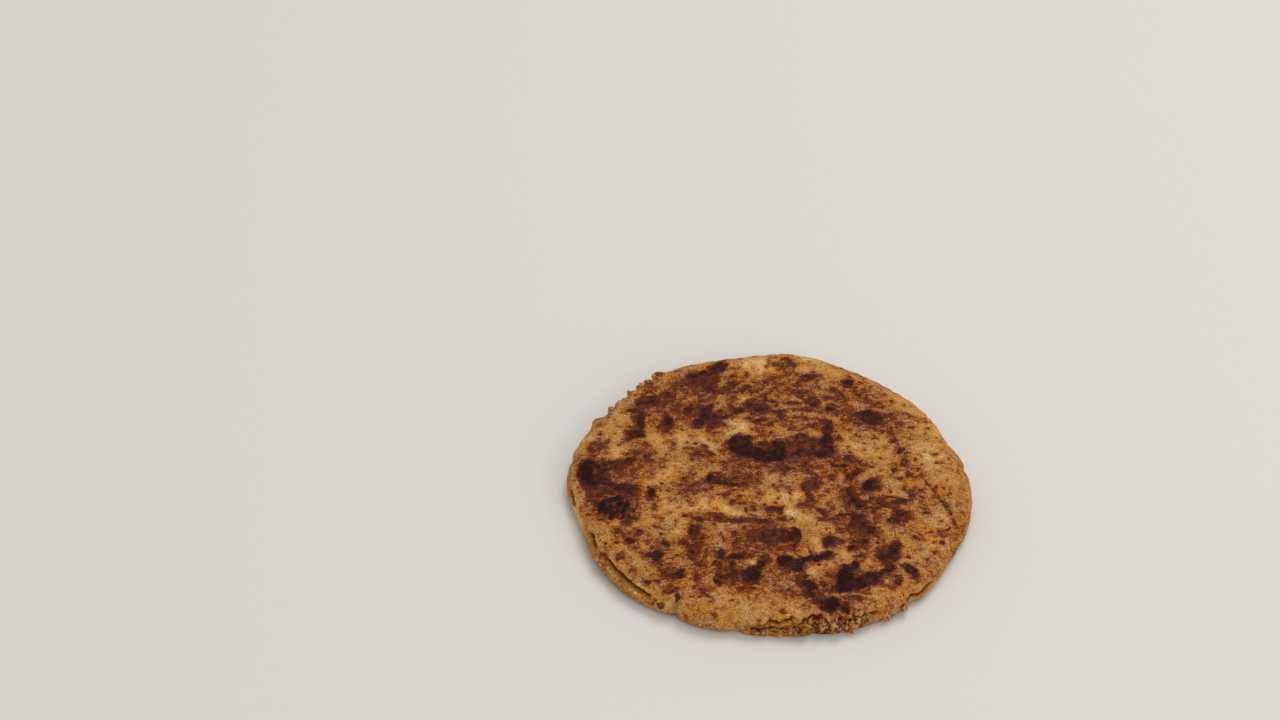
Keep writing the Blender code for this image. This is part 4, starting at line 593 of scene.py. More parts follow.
# Unevenness of the browning: size of one patch and its strength, or how far it moves a mark.
WARPS = ((4.5, 0.8), (1.8, 0.5))
BLOTCH_SIZE, BLOTCH_STRENGTH = 2.6, 0.05
BLOTCH_EDGE = 0.16
MOTTLING = ((9.0, 0.08), (3.0, 0.06), (1.3, 0.04))
PALE_MOTTLE = 0.45
MOTTLE_LEVELS = (0.32, 0.48)
MARK_MOTTLE = 0.4
SIDE_MOTTLE = 0.5

# Small brown spots strewn over the top.
SPECK_SEED = 11
SPECK_COUNT = 520
SPECK_RADII = (0.3, 0.75)
SPECK_LEVELS = (0.45, 0.72)

# Browned spots of the underside.
SPOT_SIZES = ((15.0, 1.0), (6.0, 0.5))
SPOT_EDGES = (0.05, 0.45)
SPOT_DARKNESS = 0.6
UNDERSIDE_MOTTLE = 0.7
LOW_SIDE_HEIGHT = 1.5

# Where the top's browning gives way to the side's: heights, and shares of the radius.
SIDE_FADE_HEIGHTS = (4.6, 6.8)
RIM_FADE_SHARES = (0.955, 1.0)
RIM_FADE = 0.7

# The noise's lattice is tilted, and patterns that must differ are read from places far apart in it,
# as are the heights of neighbouring lumps.
LATTICE_TILT = (0.62, 0.41, 0.87)
LUMP_SPREAD = 7.3
BLOTCH_PLACE = 40.0
SIDEWAYS_PLACE = 100.0
SPOT_PLACE = 300.0
LIFT_PLACE = 500.0


def smooth_step(low, high, value):
    share = np.clip((value - low) / (high - low), 0.0, 1.0)
    return share * share * (3.0 - 2.0 * share)


def around(values, degrees):
    """A smooth closed curve through values that are spaced evenly round the bread."""
    values = np.asarray(values)
    place = (degrees / 360.0 * len(values)) % len(values)
    index = np.floor(place).astype(int)
    t = place - index
    before, here, after, beyond = (values[(index + k) % len(values)] for k in (-1, 0, 1, 2))
    bend = 2.0 * before - 5.0 * here + 4.0 * after - beyond
    twist = 3.0 * (here - after) + beyond - before
    return here + 0.5 * t * (after - before + t * (bend + t * twist))


def turn_between(degrees, centre):
    return (degrees - centre + 180.0) % 360.0 - 180.0


def hump(distance, half_width):
    return np.exp(-((distance / half_width) ** 2))


def stretch(degrees, first, last, fade):
    """1 between two angles, falling to 0 over fade degrees inside either end."""
    into = (degrees - first) % 360.0
    length = (last - first) % 360.0
    inside = smooth_step(0.0, fade, into) * smooth_step(0.0, fade, length - into)
    return np.where(into <= length, inside, 0.0)


def perlin(points, size):
    """Smooth noise from -1 to 1, with waves about size millimetres long."""
    return np.array([noise.noise(Vector(point)) for point in points / size])


def blotches(points, size):
    """Patches about size millimetres wide, 1 inside and -1 outside, with narrow soft borders."""
    return 2.0 * smooth_step(-BLOTCH_EDGE, BLOTCH_EDGE, perlin(points, size)) - 1.0


def slanted(points):
    """Places turned askew, so that the lattice of the noise doesn't show on flat parts."""
    return points @ np.array(Euler(LATTICE_TILT).to_matrix())


def lumps(points, size):
    """For lumps of about the given size: 0 in the gaps and about 1 inside, and how far each stands out."""
    insides, rises = [], []
    for point in points / size:
        nearest, centres = noise.voronoi(Vector(point))
        insides.append(nearest[1] - nearest[0])
        rises.append(noise.noise(centres[0] * LUMP_SPREAD))
    return np.array(insides), np.array(rises)


def distance_to_line(x, y, corners):
    best = np.full(x.shape, np.inf)
    for (x0, y0), (x1, y1) in zip(corners, corners[1:]):
        run, rise = x1 - x0, y1 - y0
        share = np.clip(((x - x0) * run + (y - y0) * rise) / (run**2 + rise**2), 0.0, 1.0)
        best = np.minimum(best, np.hypot(x - x0 - share * run, y - y0 - share * rise))
    return best


def bumps_round(degrees, bumps):
    reach = np.zeros_like(degrees)
    for angle, height, half_width in bumps:
        reach = reach + height * hump(turn_between(degrees, angle), half_width)
    return reach


def flat_points(x, y):
    return np.column_stack([x, y, np.zeros_like(x)])


def top_height(x, y, share):
    height = MIDDLE_THICKNESS - (MIDDLE_THICKNESS - EDGE_THICKNESS) * share**DOMING_POWER
    points = flat_points(x, y)
    for size, wave_height in WAVES:
        height = height + wave_height * perlin(points, size)
    for upward, strips in ((-1.0, CREASES + THIN_CREASES), (1.0, RIDGES + THIN_RIDGES)):
        for corners, rise, half_width, *_ in strips:
            height = height + upward * rise * hump(distance_to_line(x, y, corners), half_width)
    return height


def edge_cracks(degrees, height):
    """How far the cracks set the side back, and the painted shade each point gets from lying deep in one.
    """
    setback, painted_shade = np.zeros_like(height), np.zeros_like(height)
    for first, last, first_height, last_height, crack_depth, half_width, inset in EDGE_CRACKS:
        share = ((degrees - first) % 360.0) / ((last - first) % 360.0)
        crack_height = first_height + (last_height - first_height) * np.clip(share, 0.0, 1.0)
        open_here = stretch(degrees, first, last, CRACK_END_SHARE * (last - first))
        groove = open_here * hump(height - crack_height, half_width)
        above = smooth_step(-half_width, half_width, height - crack_height)
        setback = setback + crack_depth * groove + inset * open_here * above
        # Painted shade along the crack's groove.
        painted_shade = np.maximum(painted_shade, groove)
    return setback, painted_shade


def edge_relief(degrees, radius, height):
    """How far the side stands out (+) or back (-), and its painted shade: darker in the cracks and the
    gaps between crumbs, paler with painted light on the crumbs' rises.
    """
    turn = np.radians(degrees)
    points = np.column_stack([radius * np.cos(turn), radius * np.sin(turn), height])
    torn = smooth_step(NUB_FOOT, NUB_HEAD, height)
    crumbly = stretch(degrees, CRUMBLY_FROM, CRUMBLY_TO, CRUMBLY_FADE)
    depth = PLAIN_EDGE_DEPTH + (CRUMB_DEPTH - PLAIN_EDGE_DEPTH) * crumbly
    insides, _ = lumps(points, CRUMB_SIZE)
    relief = torn * bumps_round(degrees, NUBS) - depth * np.clip(1.0 - insides, 0.0, 1.0) ** 2
    finely = stretch(degrees, FINE_CRUMBS_FROM, FINE_CRUMBS_TO, CRUMBLY_FADE)
    finely = finely * (1.0 - smooth_step(*FINE_CRUMB_HEIGHTS, height))
    insides, rises = lumps(points, FINE_CRUMB_SIZE)
    fine_gaps = 1.0 - smooth_step(0.0, CRUMB_GAP_SHARE, insides)
    relief = relief + finely * (FINE_CRUMB_RISE * rises - FINE_CRUMB_DEPTH * fine_gaps)
    streaked = points * (EDGE_STREAKS, EDGE_STREAKS, 1.0)
    for size, bump_height in EDGE_GRAIN:
        relief = relief + bump_height * perlin(streaked, size)
    setback, crack_shade = edge_cracks(degrees, height)
    # Painted shade in the gaps between the crumbs, and painted light on their rises.
    painted_shade = finely * (GAP_SHADE * fine_gaps - RISE_LIGHT * np.maximum(rises, 0.0))
    return relief - setback, np.maximum(painted_shade, crack_shade)


def disc_place(u, v):
    """Share of the radius and angle in degrees of a grid point, square rings made round."""
    share = np.maximum(np.abs(u), np.abs(v))
    wide = np.abs(u) >= np.abs(v)
    safe_u = np.where(wide & (share > 0.0), u, 1.0)
    safe_v = np.where(wide, 1.0, v)
    from_x = 45.0 * v / safe_u + np.where(u < 0.0, 180.0, 0.0)
    from_y = 90.0 - 45.0 * u / safe_v + np.where(v < 0.0, 180.0, 0.0)
    return share, np.where(wide, from_x, from_y) % 360.0


def shape_bread(u, v, row):
    """Millimetre positions of the mesh's points, and the painted shade each one gets from lying in a gap.
    """
    share, degrees = disc_place(u, v)
    share = share + RING_CROWDING * share * (1.0 - share)
    degrees = degrees - COLUMN_CROWDING * np.sin(np.radians(degrees - CROWDED_ANGLE))
    turn = np.radians(degrees)
    plain_radius = around(OUTLINE_RADII, degrees)
    fold = bumps_round(degrees, FOLDS)
    radius = plain_radius + fold
    top_radius = share * (plain_radius - TOP_ROUNDING) + fold * share**FOLD_FADE_POWER
    height = top_height(top_radius * np.cos(turn), top_radius * np.sin(turn), share)

    slope = np.radians(90.0 - 180.0 * row / EDGE_ROWS)
    outward = np.abs(np.cos(slope)) ** (2.0 / ROUNDING_POWER)
    upward = np.abs(np.sin(slope)) ** (2.0 / ROUNDING_POWER)
    widest = WIDEST_HEIGHT_SHARE * height
    upper = slope >= 0.0
    rounding = np.where(upper, TOP_ROUNDING, BOTTOM_ROUNDING)
    side_radius = radius - rounding * (1.0 - outward)
    side_height = widest + np.where(upper, (height - widest) * upward, -widest * upward)
    on_side = smooth_step(0.0, RELIEF_FULL_OUTWARD, outward)
    on_side = on_side * smooth_step(0.0, RELIEF_FULL_HEIGHT, side_height)
    relief, painted_shade = edge_relief(degrees, radius, side_height)
    side_radius = side_radius + on_side * relief

    in_edge = row > 0
    reach = np.where(in_edge, share * side_radius, top_radius)
    level = np.where(in_edge, side_height, height)
    points = np.column_stack([reach * np.cos(turn), reach * np.sin(turn), level])
    return points, np.where(in_edge, on_side * painted_shade, 0.0)


def closed_grid():
    """A closed mesh to be shaped: a fine grid, rows of faces below its rim, and a coarser base.

    Each row lies one unit below the one before it, so -z tells the rows apart.
    """
    bm = bmesh.new()
    bmesh.ops.create_grid(bm, x_segments=TOP_SQUARES, y_segments=TOP_SQUARES, size=1.0)
    rim = [edge for edge in bm.edges if edge.is_boundary]
    for _ in range(EDGE_ROWS):
        made = bmesh.ops.extrude_edge_only(bm, edges=rim)["geom"]
        corners = [item for item in made if isinstance(item, bmesh.types.BMVert)]
        bmesh.ops.translate(bm, verts=corners, vec=(0.0, 0.0, -1.0))
        rim = [item for item in made if isinstance(item, bmesh.types.BMEdge) and item.is_boundary]
    join_pairs(bm, rim)
    base = bmesh.ops.create_grid(bm, x_segments=UNDERSIDE_SQUARES, y_segments=UNDERSIDE_SQUARES, size=1.0)
    bmesh.ops.translate(bm, verts=base["verts"], vec=(0.0, 0.0, -EDGE_ROWS))
    bmesh.ops.remove_doubles(bm, verts=bm.verts, dist=0.1 / TOP_SQUARES)
    bmesh.ops.recalc_face_normals(bm, faces=bm.faces)
    return bm


def join_pairs(bm, rim):
    """Every second point of the lowest row joins its neighbour, to meet the base's wider squares."""
    step = 2.0 / TOP_SQUARES
    kept, odd = {}, []
    for vert in {vert for edge in rim for vert in edge.verts}:
        place = (round((vert.co.x + 1.0) / step), round((vert.co.y + 1.0) / step))
        if place[0] % 2 or place[1] % 2:
            odd.append((vert, place))
        else:
            kept[place] = vert
    joined = {vert: kept[(place[0] - place[0] % 2, place[1] - place[1] % 2)] for vert, place in odd}
    bmesh.ops.weld_verts(bm, targetmap=joined)


def warped(points):
    """Places moved a little by noise, so that marks laid out as ovals get ragged outlines."""
    moved = points[:, :2].copy()
    turned = slanted(points)
    for size, reach in WARPS:
        moved[:, 0] += reach * perlin(turned, size)
        moved[:, 1] += reach * perlin(turned + SIDEWAYS_PLACE, size)
    return moved[:, 0], moved[:, 1]


def oval_distance(x, y, mark):
    """Distance from an oval's middle, as a multiple of the oval's own size."""
    centre_x, centre_y, half_length, half_width, angle = mark
    turn = math.radians(angle)
    along = (x - centre_x) * math.cos(turn) + (y - centre_y) * math.sin(turn)
    across = (y - centre_y) * math.cos(turn) - (x - centre_x) * math.sin(turn)
    return np.hypot(along / half_length, across / half_width)


def joined(covers):
    """The greater of several overlapping fields, without the creases of a plain maximum."""
    return sum(cover**JOINING_POWER for cover in covers) ** (1.0 / JOINING_POWER)


def specks():
    """Small brown spots strewn over the top, given like the scorch marks."""
    random = np.random.default_rng(SPECK_SEED)
    turn = random.uniform(0.0, math.tau, SPECK_COUNT)
    away = STREWN_RADIUS * np.sqrt(random.uniform(0.0, 1.0, SPECK_COUNT))
    radii = random.uniform(*SPECK_RADII, SPECK_COUNT)
    levels = random.uniform(*SPECK_LEVELS, SPECK_COUNT)
    return list(zip(away * np.cos(turn), away * np.sin(turn), radii, radii, np.zeros(SPECK_COUNT), levels))


def top_browning(points, mottle, near_rim):
    """How dark the griddle has browned the top, from 0 for pale dough to 1 for black, and how ashy."""
    x, y = warped(points)
    level = np.full(len(points), PLAIN_LEVEL)
    for *oval, paler in PALE_PLACES:
        level = level - paler * hump(oval_distance(x, y, oval), 1.0)
    browned, ashy = [], []
    for *oval, darkness in WIDE_MARKS:
        cover = 1.0 - smooth_step(WIDE_INSIDE, WIDE_OUTSIDE, oval_distance(x, y, oval))
        browned.append((darkness - PLAIN_LEVEL) * cover)
        ashy.append(smooth_step(*ASHY_DARKNESS, darkness) * cover)
    level = np.minimum(level + joined(browned) * (1.0 - RIM_FADE * near_rim), DARKEST_WIDE)
    # Thin creases and cracks darker, partly painted shade; thin ridges paler, partly painted highlight.
    for corners, _, half_width, darker in THIN_CREASES + THIN_RIDGES:
        level = level + darker * hump(distance_to_line(x, y, corners), half_width)
    level = level + mottle * (PALE_MOTTLE + (1.0 - PALE_MOTTLE) * smooth_step(*MOTTLE_LEVELS, level))
    for *oval, darkness in SCORCHES + tuple(specks()):
        size = math.sqrt(oval[2] * oval[3])
        outside = (oval_distance(x, y, oval) - 1.0) * size
        glow = GLOW_SHARE * min(1.0, size) * (1.0 - smooth_step(0.0, GLOW_REACH, outside))
        level = np.maximum(level, level + (min(darkness, GLOW_LEVEL) - level) * glow)
        softness = EDGE_SOFTNESS * size**EDGE_GROWTH
        cover = 1.0 - smooth_step(-softness, softness, outside)
        level = np.maximum(level, level + (darkness + MARK_MOTTLE * mottle - level) * cover)
        ashy.append(smooth_step(*ASHY_SIZES, size) * smooth_step(*ASHY_DARKNESS, darkness) * cover)
    return level, np.minimum(joined(ashy), 1.0)


def underside_browning(points, mottle):
    spots = sum(strength * perlin(points + SPOT_PLACE, size) for size, strength in SPOT_SIZES)
    return PLAIN_LEVEL + SPOT_DARKNESS * smooth_step(*SPOT_EDGES, spots) + UNDERSIDE_MOTTLE * mottle


def make_pits(points):
    """Depth of the small pits of the top at each point."""
    random = np.random.default_rng(PIT_SEED)
    depth = np.zeros(len(points))
    for _ in range(PIT_COUNT):
        turn = random.uniform(0.0, math.tau)
        away = STREWN_RADIUS * math.sqrt(random.uniform())
        radius = random.uniform(*PIT_RADII)
        pit_depth = random.uniform(*PIT_DEPTHS)
        distance = np.hypot(points[:, 0] - away * math.cos(turn), points[:, 1] - away * math.sin(turn))
        depth = np.maximum(depth, pit_depth * hump(distance, radius))
    return depth


def new_piece(name, bm, material, fields):
    """A smooth object made from the mesh, with the values that its material reads at each point."""
    mesh = bpy.data.meshes.new(name)
    bm.to_mesh(mesh)
    bm.free()
    mesh.shade_smooth()
    for field, values in fields.items():
        attribute = mesh.attributes.new(field, "FLOAT", "POINT")
        attribute.data.foreach_set("value", np.asarray(values, dtype=np.float32))
    mesh.materials.append(material)
    piece = bpy.data.objects.new(name, mesh)
    bpy.context.scene.collection.objects.link(piece)
    return piece


def brown_bread(points, turned, upper, share):
    """How browned each point of the bread is, and how ashy."""
    mottle = np.zeros(len(points))
    for size, strength in MOTTLING:
        mottle = mottle + strength * perlin(turned, size)
    mottle = mottle + BLOTCH_STRENGTH * blotches(turned + BLOTCH_PLACE, BLOTCH_SIZE)
    level = SIDE_LEVEL + SIDE_MOTTLE * mottle
    near_rim = smooth_step(*RIM_FADE_SHARES, share)
    on_top, ashy = top_browning(points, mottle, near_rim)
    level = level + (on_top - level) * upper
    degrees = np.degrees(np.arctan2(points[:, 1], points[:, 0]))
    # Changes along the edge: mostly the crust's own browning, in places painted shade under the front edge
    # and painted light at a crack's end.
    for angle, on_rim, on_side, half_width in EDGE_PLACES:
        change = on_side + (on_rim - on_side) * upper
        level = level + change * near_rim * hump(turn_between(degrees, angle), half_width)
    low_side = 1.0 - smooth_step(0.0, LOW_SIDE_HEIGHT, points[:, 2])
    return level + (underside_browning(points, mottle) - level) * low_side, ashy * upper


def roughen(points, turned, level, upper, underside, painted_shade):
    """Adds the grain and pits to the heights, and gives the painted shade of each point in a gap or pit or
    at the bread's foot.
    """
    grain = np.zeros(len(points))
    for size, bump_height in GRAIN:
        grain = grain + bump_height * perlin(turned, size)
    pits = make_pits(points) * upper
    rise = np.minimum(grain, GRAIN_CAP) + CHAR_RISE * smooth_step(*CHAR_LEVELS, level) - pits
    points[:, 2] += rise * upper
    lift = UNDERSIDE_LIFT * smooth_step(0.0, LIFT_FULL, perlin(points + LIFT_PLACE, LIFT_SIZE))
    points[:, 2] += np.where(underside, lift + np.maximum(-grain, 0.0), 0.0)
    # Painted shade in the pits, and at the bread's foot where it meets the floor.
    painted_shade = np.maximum(painted_shade, PIT_SHADE * pits / PIT_DEPTHS[1])
    return np.maximum(painted_shade, FOOT_SHADE * (1.0 - smooth_step(0.0, FOOT_HEIGHT, points[:, 2])))


def make_bread():
    bm = closed_grid()
    grid = np.array([vert.co for vert in bm.verts])
    row = np.round(-grid[:, 2])
    points, painted_shade = shape_bread(grid[:, 0], grid[:, 1], row)
    points[:, :2] -= (points[:, :2].min(axis=0) + points[:, :2].max(axis=0)) / 2.0
    share = np.maximum(np.abs(grid[:, 0]), np.abs(grid[:, 1]))
    underside = (row == EDGE_ROWS) & (share < 1.0)
    turned = slanted(points)
    upper = smooth_step(*SIDE_FADE_HEIGHTS, points[:, 2])
    level, ashy = brown_bread(points, turned, upper, share)
    painted_shade = roughen(points, turned, level, upper, underside, painted_shade)
    for vert, point in zip(bm.verts, points):
        vert.co = Vector(point) * MM

    material = crust_material()
    bread = new_piece("bread", bm, material, {"browning": level, "painted_shade": painted_shade, "ashy": ashy})
    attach(bread, "root")
    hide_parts(NODE)
    make_crumbs(points, material)


def crumb_seats():
    """Crumbs strewn over their stretches of the edge, given like the flakes."""
    random = np.random.default_rng(CRUMB_SEED)
    seats = list(FLAKES)
    for first, last, lowest, highest, count in CRUMB_STRETCHES:
        for _ in range(count):
            radius = random.uniform(*CRUMB_RADII)
            sizes = radius * random.uniform(*CRUMB_SPREAD, 3)
            angle, height = random.uniform(first, last), random.uniform(lowest, highest)
            seats.append((angle, height, *sizes, random.uniform(*CRUMB_LEVELS)))
    return seats


def make_crumbs(points, material):
    """Ragged lumps that sit half sunk in the edge."""
    degrees = np.degrees(np.arctan2(points[:, 1], points[:, 0]))
    reach = np.hypot(points[:, 0], points[:, 1])
    bm = bmesh.new()
    levels = []
    for angle, height, half_length, half_thickness, half_height, level in crumb_seats():
        away = np.hypot(np.radians(turn_between(degrees, angle)) * reach, points[:, 2] - height)
        away = away + np.where(reach > SEAT_SHARE * reach.max() - SEAT_MARGIN, 0.0, np.inf)
        seat = Vector(points[int(np.argmin(away))])
        turn = math.radians(angle)
        outward = Vector((math.cos(turn), math.sin(turn), 0.0))
        along = Vector((-outward.y, outward.x, 0.0))
        made = bmesh.ops.create_icosphere(bm, subdivisions=3, radius=1.0)["verts"]
        for vert in made:
            direction = vert.co.copy()
            ragged = 1.0
            for rate, share in CRUMB_RAGGEDNESS:
                ragged += share * noise.noise(rate * direction + seat)
            place = seat + outward * (CRUMB_SHOWS + direction.x * ragged) * half_thickness
            place += along * direction.y * ragged * half_length
            vert.co = (place + Vector((0.0, 0.0, direction.z * ragged * half_height))) * MM
            levels.append(level + CRUMB_MOTTLE * noise.noise(CRUMB_MOTTLE_RATE * direction + seat))
    crumbs = new_piece("crumbs", bm, material, {"browning": levels})
    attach(crumbs, "root")
    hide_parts(NODE)


# ---------------------------------------------------------------------------- materials

# Colours of the crust from pale dough to char: place on the scale, red, green, blue as on a screen.
CRUST_COLOURS = (
    (0.00, 220, 176, 118),
    (0.15, 195, 146, 88),
    (0.30, 170, 119, 61),
    (0.40, 154, 95, 47),
    (0.50, 137, 75, 39),
    (0.60, 116, 59, 34),
    (0.70, 94, 46, 30),
    (0.80, 72, 37, 26),
    (0.90, 54, 28, 21),
    (1.00, 37, 21, 17),
)
LIGHT_GAIN = 1.16

# The dough's small bumps are browned more than the hollows between them: size, width of their
# edges, strength. More of them are brown where the dough is browner, and they fade where it is burnt.
BUMPS = (
    (2.6, 0.06, 0.24),
    (1.2, 0.05, 0.28),
)
HOLLOW_LEVEL, BUMP_LEVEL = 0.31, 0.80
BUMPS_NEEDED = (0.28, 0.74, 0.68, 0.36)
BUMPS_UNBURNT = (0.55, 0.80, 1.0, 0.2)

# Noises of the crust: size of one wave, detail, roughness.
COARSE_NOISE = (1.0, 3.0, 0.6)
FINE_NOISE = (0.5, 2.0, 0.6)
BRIGHT_NOISE = (0.7, 1.0)
LUMP_NOISE = (2.0, 3.0, 0.6)
PATCH_NOISE = (6.0, 3.0)
GRAIN_NOISE = (1.0, 3.0)

# Wrinkles and ridges: size and width of the lines, longer across the bread than from front to back.
# Their darker and paler colour is painted shade in the wrinkles and painted highlight on the ridges; they
# also bump the surface.
LINE_STRETCH = (0.8, 1.1, 1.0)
WRINKLES = (1.5, 0.030)
RIDGE_LINES = (1.1, 0.04)
WRINKLE_PATCHES = (5.0, (0.40, 0.60, 0.2, 1.0))

# Dark flecks: size of a cell and radius of a fleck, then size of the patches that hold more or
# fewer of them, and how the share of cells with a fleck changes.
FLECKS = (1.0, 0.27)
FLECK_CLUSTERS = (9.0, (0.35, 0.65, 0.20, 0.65))

# Changes of the browning: as a value goes from the first number to the second, the change goes
# from the third to the fourth.
DARK_GAIN = (0.30, 0.80, 0.00, 0.03)
COARSE_CHANGE = (0.3, 0.7, -0.06, 0.06)
FINE_CHANGE = (0.3, 0.7, -1.0, 1.0)
FINE_STRENGTH = (0.26, 0.44, 0.07, 0.14)
BROWN_STEP = (0.42, 0.50, -0.02, 0.03)
BRIGHT_CHANGE = (0.62, 0.70, 0.0, -0.12)
LUMP_CHANGE = (0.50, 0.60, 0.0, -0.16)
BURNT = (0.58, 0.76, 0.0, 1.0)
# How much darker the wrinkles' painted shade and how much paler the ridges' painted highlight make the
# browning.
PAINTED_WRINKLE_SHADE, PAINTED_RIDGE_HIGHLIGHT = 0.16, -0.06

# Tints laid over the colours, red, green and blue, and how warm the dough is from place to place. The
# painted shade of gaps, pits and the bread's foot has its own tint, warmth and strength.
FLECK_TINT = (0.42, 0.36, 0.28, 1.0)
COOL_TINT = (0.97, 1.08, 1.54, 1.0)
ASHY_TINT = (1.01, 0.95, 1.22, 1.0)
WARM_TINT = (1.06, 0.91, 0.38, 1.0)
SIDE_TINT = (0.98, 1.02, 1.04, 1.0)
PAINTED_SHADE_TINT = (0.30, 0.15, 0.08, 1.0)
PATCH_WARMTH = (0.35, 0.65, 0.0, 0.6)
GRAIN_WARMTH = (0.3, 0.7, 0.0, 0.6)
ASHY_WARMTH, PAINTED_SHADE_WARMTH, LEAST_WARMTH = -0.35, 0.5, 0.1
PAINTED_SHADE_RANGE = (0.0, 0.75, 0.0, 1.0)
SIDE_HEIGHTS = (4.5 * MM, 7.8 * MM, 1.0, 0.0)

ROUGHNESS = (0.55, 0.95, 0.84, 0.62)
FINE_ROUGHNESS = (0.3, 0.7, -0.06, 0.06)
CRUST_SHINE = 0.04
COARSE_RELIEF, FINE_RELIEF, FLECK_RELIEF, WRINKLE_RELIEF, RIDGE_RELIEF = 0.6, 0.4, -0.25, -0.35, 0.15
RELIEF_STRENGTH, RELIEF_HEIGHT = 0.7, 0.5

FLOOR_COLOUR = (226, 224, 219)
FLOOR_ROUGHNESS = 0.6
FLOOR_SHINE = 0.2


def linear(red, green, blue, gain=1.0):
    """A screen colour, 0 to 255, as the linear colour that a shader takes."""
    shares = [channel / 255.0 for channel in (red, green, blue)]
    return [gain * (s / 12.92 if s < 0.04045 else ((s + 0.055) / 1.055) ** 2.4) for s in shares] + [1.0]


class Nodes:
    """Short names for adding and linking shader nodes."""

    def __init__(self, name):
        self.material = bpy.data.materials.new(name)
        self.material.use_nodes = True
        self.tree = self.material.node_tree
        self.shader = self.tree.nodes["Principled BSDF"]

    def add(self, kind, **settings):
        node = self.tree.nodes.new(kind)
        for name, value in settings.items():
            setattr(node, name, value)
        return node

    def put(self, value, socket):
        if isinstance(value, bpy.types.NodeSocket):
            self.tree.links.new(value, socket)
        else:
            socket.default_value = value

    def math(self, operation, first, second=0.0, clamp=False):
        node = self.add("ShaderNodeMath", operation=operation, use_clamp=clamp)
        self.put(first, node.inputs[0])
        self.put(second, node.inputs[1])
        return node.outputs[0]

    def plus(self, value, change, strength):
        return self.math("ADD", value, self.math("MULTIPLY", change, strength))

    def ranged(self, value, from_low, from_high, to_low, to_high):
        node = self.add("ShaderNodeMapRange")
        for index, item in enumerate((value, from_low, from_high, to_low, to_high)):
            self.put(item, node.inputs[index])
        return node.outputs[0]

    def noise(self, place, size, detail=2.0, roughness=0.5):
        node = self.add("ShaderNodeTexNoise")
        self.put(place, node.inputs["Vector"])
        self.put(1.0 / (size * MM), node.inputs["Scale"])
        self.put(detail, node.inputs["Detail"])
        self.put(roughness, node.inputs["Roughness"])
        return node.outputs["Fac"]

    def cells(self, place, size):
        node = self.add("ShaderNodeTexVoronoi")
        self.put(place, node.inputs["Vector"])
        self.put(1.0 / (size * MM), node.inputs["Scale"])
        return node.outputs["Distance"], node.outputs["Color"]

    def mix(self, kind, share, first, second):
        node = self.add("ShaderNodeMix", data_type="RGBA", blend_type=kind)
        self.put(share, node.inputs[0])
        self.put(first, node.inputs[6])
        self.put(second, node.inputs[7])
        return node.outputs[2]


def dots(nodes, place, size, radius, share):
    """1 in small dots, in that share of cells of the given size, and 0 between them."""
    distance, colour = nodes.cells(place, size)
    split = nodes.add("ShaderNodeSeparateColor")
    nodes.put(colour, split.inputs[0])
    chosen = nodes.math("LESS_THAN", split.outputs[0], share)
    inside = nodes.ranged(distance, 0.5 * radius / size, radius / size, 1.0, 0.0)
    return nodes.math("MULTIPLY", chosen, inside)


def lines(nodes, place, size, width):
    """1 along thin winding lines, and 0 between them."""
    middle = nodes.math("SUBTRACT", nodes.noise(place, size), 0.5)
    return nodes.ranged(nodes.math("ABSOLUTE", middle), 0.0, width, 1.0, 0.0)


def patchy(nodes, place, size, change):
    return nodes.ranged(nodes.noise(place, size), *change)


def painted(nodes, name):
    return nodes.add("ShaderNodeAttribute", attribute_name=name).outputs["Fac"]


def browned_bumps(nodes, place, browning, level):
    """The browning with the dough's bumps darker and the hollows between them paler."""
    hollow = nodes.math("MINIMUM", browning, HOLLOW_LEVEL)
    top = nodes.math("MAXIMUM", browning, BUMP_LEVEL)
    unburnt = nodes.ranged(browning, *BUMPS_UNBURNT)
    needed = nodes.ranged(browning, *BUMPS_NEEDED)
    for size, edge, strength in BUMPS:
        over = nodes.math("SUBTRACT", nodes.noise(place, size, 1.0), needed)
        bumps = nodes.ranged(over, -edge, edge, hollow, top)
        pull = nodes.math("MULTIPLY", nodes.math("SUBTRACT", bumps, browning), unburnt)
        level = nodes.plus(level, pull, strength)
    return level


def crust_colour(nodes, level):
    """The colour at a place on the scale of browning."""
    ramp = nodes.add("ShaderNodeValToRGB")
    stops = ramp.color_ramp.elements
    while len(stops) < len(CRUST_COLOURS):
        stops.new(0.5)
    for stop, (place_on_scale, *screen_colour) in zip(stops, CRUST_COLOURS):
        stop.position = place_on_scale
        stop.color = linear(*screen_colour, LIGHT_GAIN)
    nodes.put(level, ramp.inputs[0])
    return ramp.outputs[0]


def tinted(nodes, place, colour, ashy, shade):
    """The colour made warmer and cooler from place to place, and darker with painted shade in gaps, pits
    and at the bread's foot.
    """
    patches = nodes.ranged(nodes.noise(place, *PATCH_NOISE), *PATCH_WARMTH)
    grains = nodes.ranged(nodes.noise(place, *GRAIN_NOISE), *GRAIN_WARMTH)
    warmth = nodes.plus(nodes.math("ADD", patches, grains), ashy, ASHY_WARMTH)
    warmth = nodes.plus(warmth, shade, PAINTED_SHADE_WARMTH)
    warmth = nodes.math("SUBTRACT", warmth, LEAST_WARMTH, clamp=True)
    cool = nodes.mix("MIX", ashy, COOL_TINT, ASHY_TINT)
    tint = nodes.mix("MIX", warmth, cool, WARM_TINT)
    colour = nodes.mix("MULTIPLY", 1.0, colour, tint)
    split = nodes.add("ShaderNodeSeparateXYZ")
    nodes.put(place, split.inputs[0])
    side = nodes.ranged(split.outputs[2], *SIDE_HEIGHTS)
    colour = nodes.mix("MULTIPLY", side, colour, SIDE_TINT)
    return nodes.mix("MULTIPLY", shade, colour, PAINTED_SHADE_TINT)


